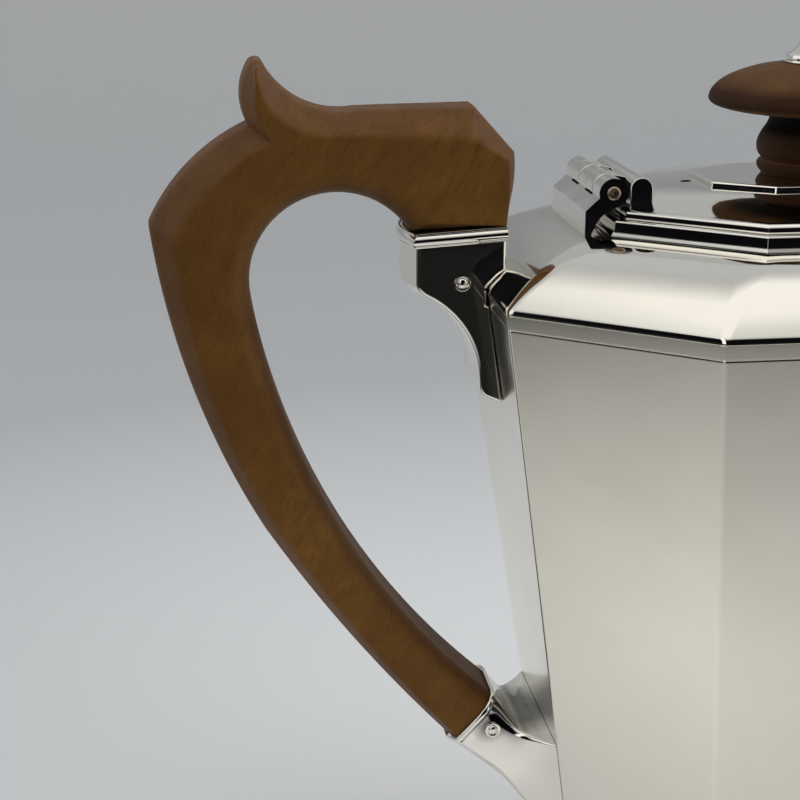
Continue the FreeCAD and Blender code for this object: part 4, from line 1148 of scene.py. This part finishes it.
def lowerRing(station, grow=0.0, back=0.0):
    (x, z), slope, halfHeight, topHalf, bottomHalf, topRound, (up, inward) = station
    turning = math.radians(slope)
    top, bottom, height, rounding = (
        size + grow for size in (topHalf, bottomHalf, halfHeight, topRound))
    middleIn, middleUp = lowerSizes["bevelMiddle"]
    right = [(bottom - inward, -height), (bottom - inward * middleIn, up * middleUp - height)]
    for share in (0, *lowerSizes["sideShares"]):
        side = between(up - height, height - rounding, share)
        right.append((between(bottom, top, share), side))
    right += arcPoints(
        (top - rounding, height - rounding), rounding, 0, 90, lowerSizes["roundSteps"] + 1)
    right.append(((top - rounding) / 2, height))
    corners = [(0, -height)] + right + [(0, height)] + [(-u, v) for u, v in reversed(right)]
    ring = []
    for u, v in corners:
        along = x - v * math.sin(turning) - back * math.cos(turning)
        ring.append((along, u, rimHeight + z + v * math.cos(turning) - back * math.sin(turning)))
    return ring


def makeLowerSocket():
    sizes = lowerSizes
    sections = [lowerRing(station) for station in sizes["stations"]]
    throat, groove = sizes["stations"][0], sizes["groove"]
    rings = [lowerRing(throat, grow, back) for grow, back in (
        (-groove, 0.0), (-groove, -groove), (0.0, -groove))]
    rings += smoothSections(sections, sizes["steps"])[1:]
    socket = loft("lowerSocket", rings, "capped")
    softenEdges(socket, *sizes["edge"])
    # painted shade: this finish darkens the socket's upper side near the wall and beside each rivet
    keep(socket, "pot", ["lower_socket"], shadedSilver)

    rings = [lowerRing(throat, grow, back) for grow, back in lowerBandSizes["line"]]
    band = loft("lowerBand", rings, "looped")
    softenEdges(band, *lowerBandSizes["edge"])
    keep(band, "pot", ["lower_socket_band"], brightSilver)


makeLowerSocket()
makeRivet("lowerRivet", lowerSizes["rivet"], lowerSizes["rivetHalf"], "lower_rivet")
print("sockets done")


# CAD pieces that stay as they are, with better finishes

for node, finish in {
    "base_plate": brightSilver, "lid_bezel": brightSilver,
    "finial_stud": pinBrass, "finial_washer": pinBrass, "finial_nut": pinBrass,
}.items():
    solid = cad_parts[node]
    solid.data.materials.clear()
    solid.data.materials.append(finish)


# pale sweep: floor that curves up into a backdrop

sweepSizes = {
    "floor": (-600, -300, 0, 300), "bend": 550, "radius": 400, "bendPoints": 13, "height": 1000,
    "half": 1600, "below": 0.2,
}
sweepTones = {
    # painted light: the floor is paler near the pot; painted light and shade: the backdrop's bands,
    # darker in the middle and paler at the top
    "floorNear": (0.77, 0.79, 0.81), "floorFar": (0.45, 0.465, 0.48), "floorSpan": (50, 340),
    "backdrop": [  # heights between which each tone comes in
        ((20, 100), (0.495, 0.507, 0.517)), ((130, 250), (0.455, 0.466, 0.475)),
        ((370, 480), (0.755, 0.765, 0.77))],
    # what the metal and the light meet of the floor in front of the pot: a painted pool of light
    # close to it, painted shade further out and towards the right, near black beyond
    "frontSpan": (20, -60), "frontNear": (0.93, 0.93, 0.935), "frontFar": (0.5, 0.5, 0.5),
    "frontFade": (100, 190), "rightSpan": (-120, 20), "rightShare": 0.25,
    "right": (0.01, 0.01, 0.01), "end": (0.004, 0.004, 0.004), "shadeSpan": (190, 290),
    "rough": 0.9, "gloss": 0.1,
}


def sweepFinish():
    # painted light: paler near the pot, with painted light and shade in bands up the backdrop; the
    # metal and the light meet the floor in front of the pot painted brighter close by and dark, as
    # painted shade, a little way out
    tones = sweepTones
    finish, tree, shader, coords = newFinish("paleSweep")
    x, y, z = axes(tree, coords["Object"])
    away = vectorNode(tree, "LENGTH", coords["Object"])["Value"]
    # painted light: paler near the pot
    plain = fade(tree, away, metres(tones["floorSpan"]), tones["floorNear"], tones["floorFar"])
    # painted light and shade in bands up the backdrop
    for span, tone in tones["backdrop"]:
        plain = fade(tree, z, metres(span), plain, tone)
    # painted light and shade on the floor in front, for all but camera rays: pale close to the pot,
    # darker further out and towards the right, near black beyond
    front = fade(tree, away, metres(tones["frontFade"]), tones["frontNear"], tones["frontFar"])
    right = remap(tree, x, *metres(tones["rightSpan"]), 0.0, tones["rightShare"])
    front = mixColour(tree, right, front, tones["right"])
    front = fade(tree, away, metres(tones["shadeSpan"]), front, tones["end"])
    ahead = remap(tree, y, *metres(tones["frontSpan"]))
    seen = addNode(tree, "LightPath", {})["Is Camera Ray"]
    share = times(tree, ahead, mathNode(tree, "SUBTRACT", 1.0, seen))
    feed(tree, shader, {
        "Base Color": mixColour(tree, share, plain, front), "Roughness": tones["rough"],
        "Specular IOR Level": tones["gloss"]})
    return finish


def makeSweep():
    sizes = sweepSizes
    half, bend, radius = sizes["half"], sizes["bend"], sizes["radius"]
    line = [(y, 0) for y in sizes["floor"]]
    line += arcPoints((bend, radius), radius, -90, 0, sizes["bendPoints"])
    line.append((bend + radius, sizes["height"]))
    sweep = startLine("sweep", [(-half, y, z - sizes["below"]) for y, z in line])
    bpy.ops.mesh.extrude_region_move(TRANSFORM_OT_translate={"value": (2 * half * mm, 0, 0)})
    bpy.ops.object.mode_set(mode="OBJECT")
    smoothAll(sweep)
    sweep.data.materials.append(sweepFinish())


makeSweep()


# light: a soft lamp overhead that the metal doesn't mirror, and a room that is dark in front and
# pale at its sides, where the metal mirrors less than the sides give

lampSizes = {"place": (215, 130, 950), "size": (1370, 420), "power": 0.45}
roomTones = {  # spans are on the x, y or z of the way that a ray leaves
    "frontSpan": (-0.1, -0.3), "front": (0.003, 0.003, 0.004),
    "frontTop": (0.6, 0.6, 0.59), "frontTopSpan": (0.6, 0.76),
    "sides": (2.4, 2.42, 2.46), "sidesMirrored": (0.86, 0.87, 0.88),
    "sidesTop": (0.62, 0.62, 0.62), "sidesTopSpan": (0.5, 0.78),
    "back": (0.5, 0.51, 0.52), "leftSpan": (-0.35, -0.6), "rightSpan": (0.5, 0.7),
    "panel": (1.1, 1.1, 1.1), "panelLeft": (-0.72, -0.62), "panelRight": (-0.33, -0.43),
    "ceiling": (0.98, 0.965, 0.92), "ceilingBack": (0.44, 0.44, 0.44),
    "ceilingBackSpan": (0.28, 0.55), "ceilingSpan": (0.8, 0.92), "camera": (0.42, 0.43, 0.44),
}


def makeLamp():
    dropSelection()
    bpy.ops.object.light_add(type="AREA", location=Vector(lampSizes["place"]) * mm)
    lamp = bpy.context.object
    lamp.name = "softLamp"
    lamp.data.shape = "RECTANGLE"
    lamp.data.size, lamp.data.size_y = metres(lampSizes["size"])
    lamp.data.energy = lampSizes["power"]
    lamp.visible_glossy = False


def makeRoom():
    tones = roomTones
    room = bpy.data.worlds.new("room")
    room.use_nodes = True
    tree = room.node_tree
    x, y, z = axes(tree, addNode(tree, "TexCoord", {})["Generated"])
    path = addNode(tree, "LightPath", {})
    ahead = remap(tree, y, *tones["frontSpan"])
    front = fade(tree, z, tones["frontTopSpan"], tones["front"], tones["frontTop"])
    sides = mixColour(tree, path["Is Glossy Ray"], tones["sides"], tones["sidesMirrored"])
    sides = fade(tree, z, tones["sidesTopSpan"], sides, tones["sidesTop"])
    walls = fade(tree, x, tones["leftSpan"], tones["back"], sides)
    walls = mixColour(tree, ahead, walls, front)
    panel = times(tree, remap(tree, x, *tones["panelLeft"]), remap(tree, x, *tones["panelRight"]))
    walls = mixColour(tree, times(tree, panel, ahead), walls, tones["panel"])
    walls = fade(tree, x, tones["rightSpan"], walls, sides)
    ceiling = fade(tree, y, tones["ceilingBackSpan"], tones["ceiling"], tones["ceilingBack"])
    around = fade(tree, z, tones["ceilingSpan"], walls, ceiling)
    shown = mixColour(tree, path["Is Camera Ray"], around, tones["camera"])
    feed(tree, tree.nodes["Background"], {"Color": shown, "Strength": 1.0})
    bpy.context.scene.world = room


makeLamp()
makeRoom()


# camera at the photograph's place

cameraSizes = {
    "place": (-106.0, -284.1, 173.6), "down": 16.17, "turn": 7.55, "lens": 81, "sensor": 36,
    "nearest": 10,
}


def makeCamera():
    sizes = cameraSizes
    dropSelection()
    turning = (math.radians(90 - sizes["down"]), 0, math.radians(-sizes["turn"]))
    bpy.ops.object.camera_add(location=Vector(sizes["place"]) * mm, rotation=turning)
    camera = bpy.context.object
    camera.name = "viewCamera"
    camera.data.lens = sizes["lens"]
    camera.data.sensor_width = sizes["sensor"]
    camera.data.sensor_fit = "HORIZONTAL"
    camera.data.clip_start = sizes["nearest"] * mm
    bpy.context.scene.camera = camera


makeCamera()
bpy.context.scene.view_settings.view_transform = "Standard"
print("sweep, light and camera done")

print("pieces", len(finished), "faces", sum(finished.values()))
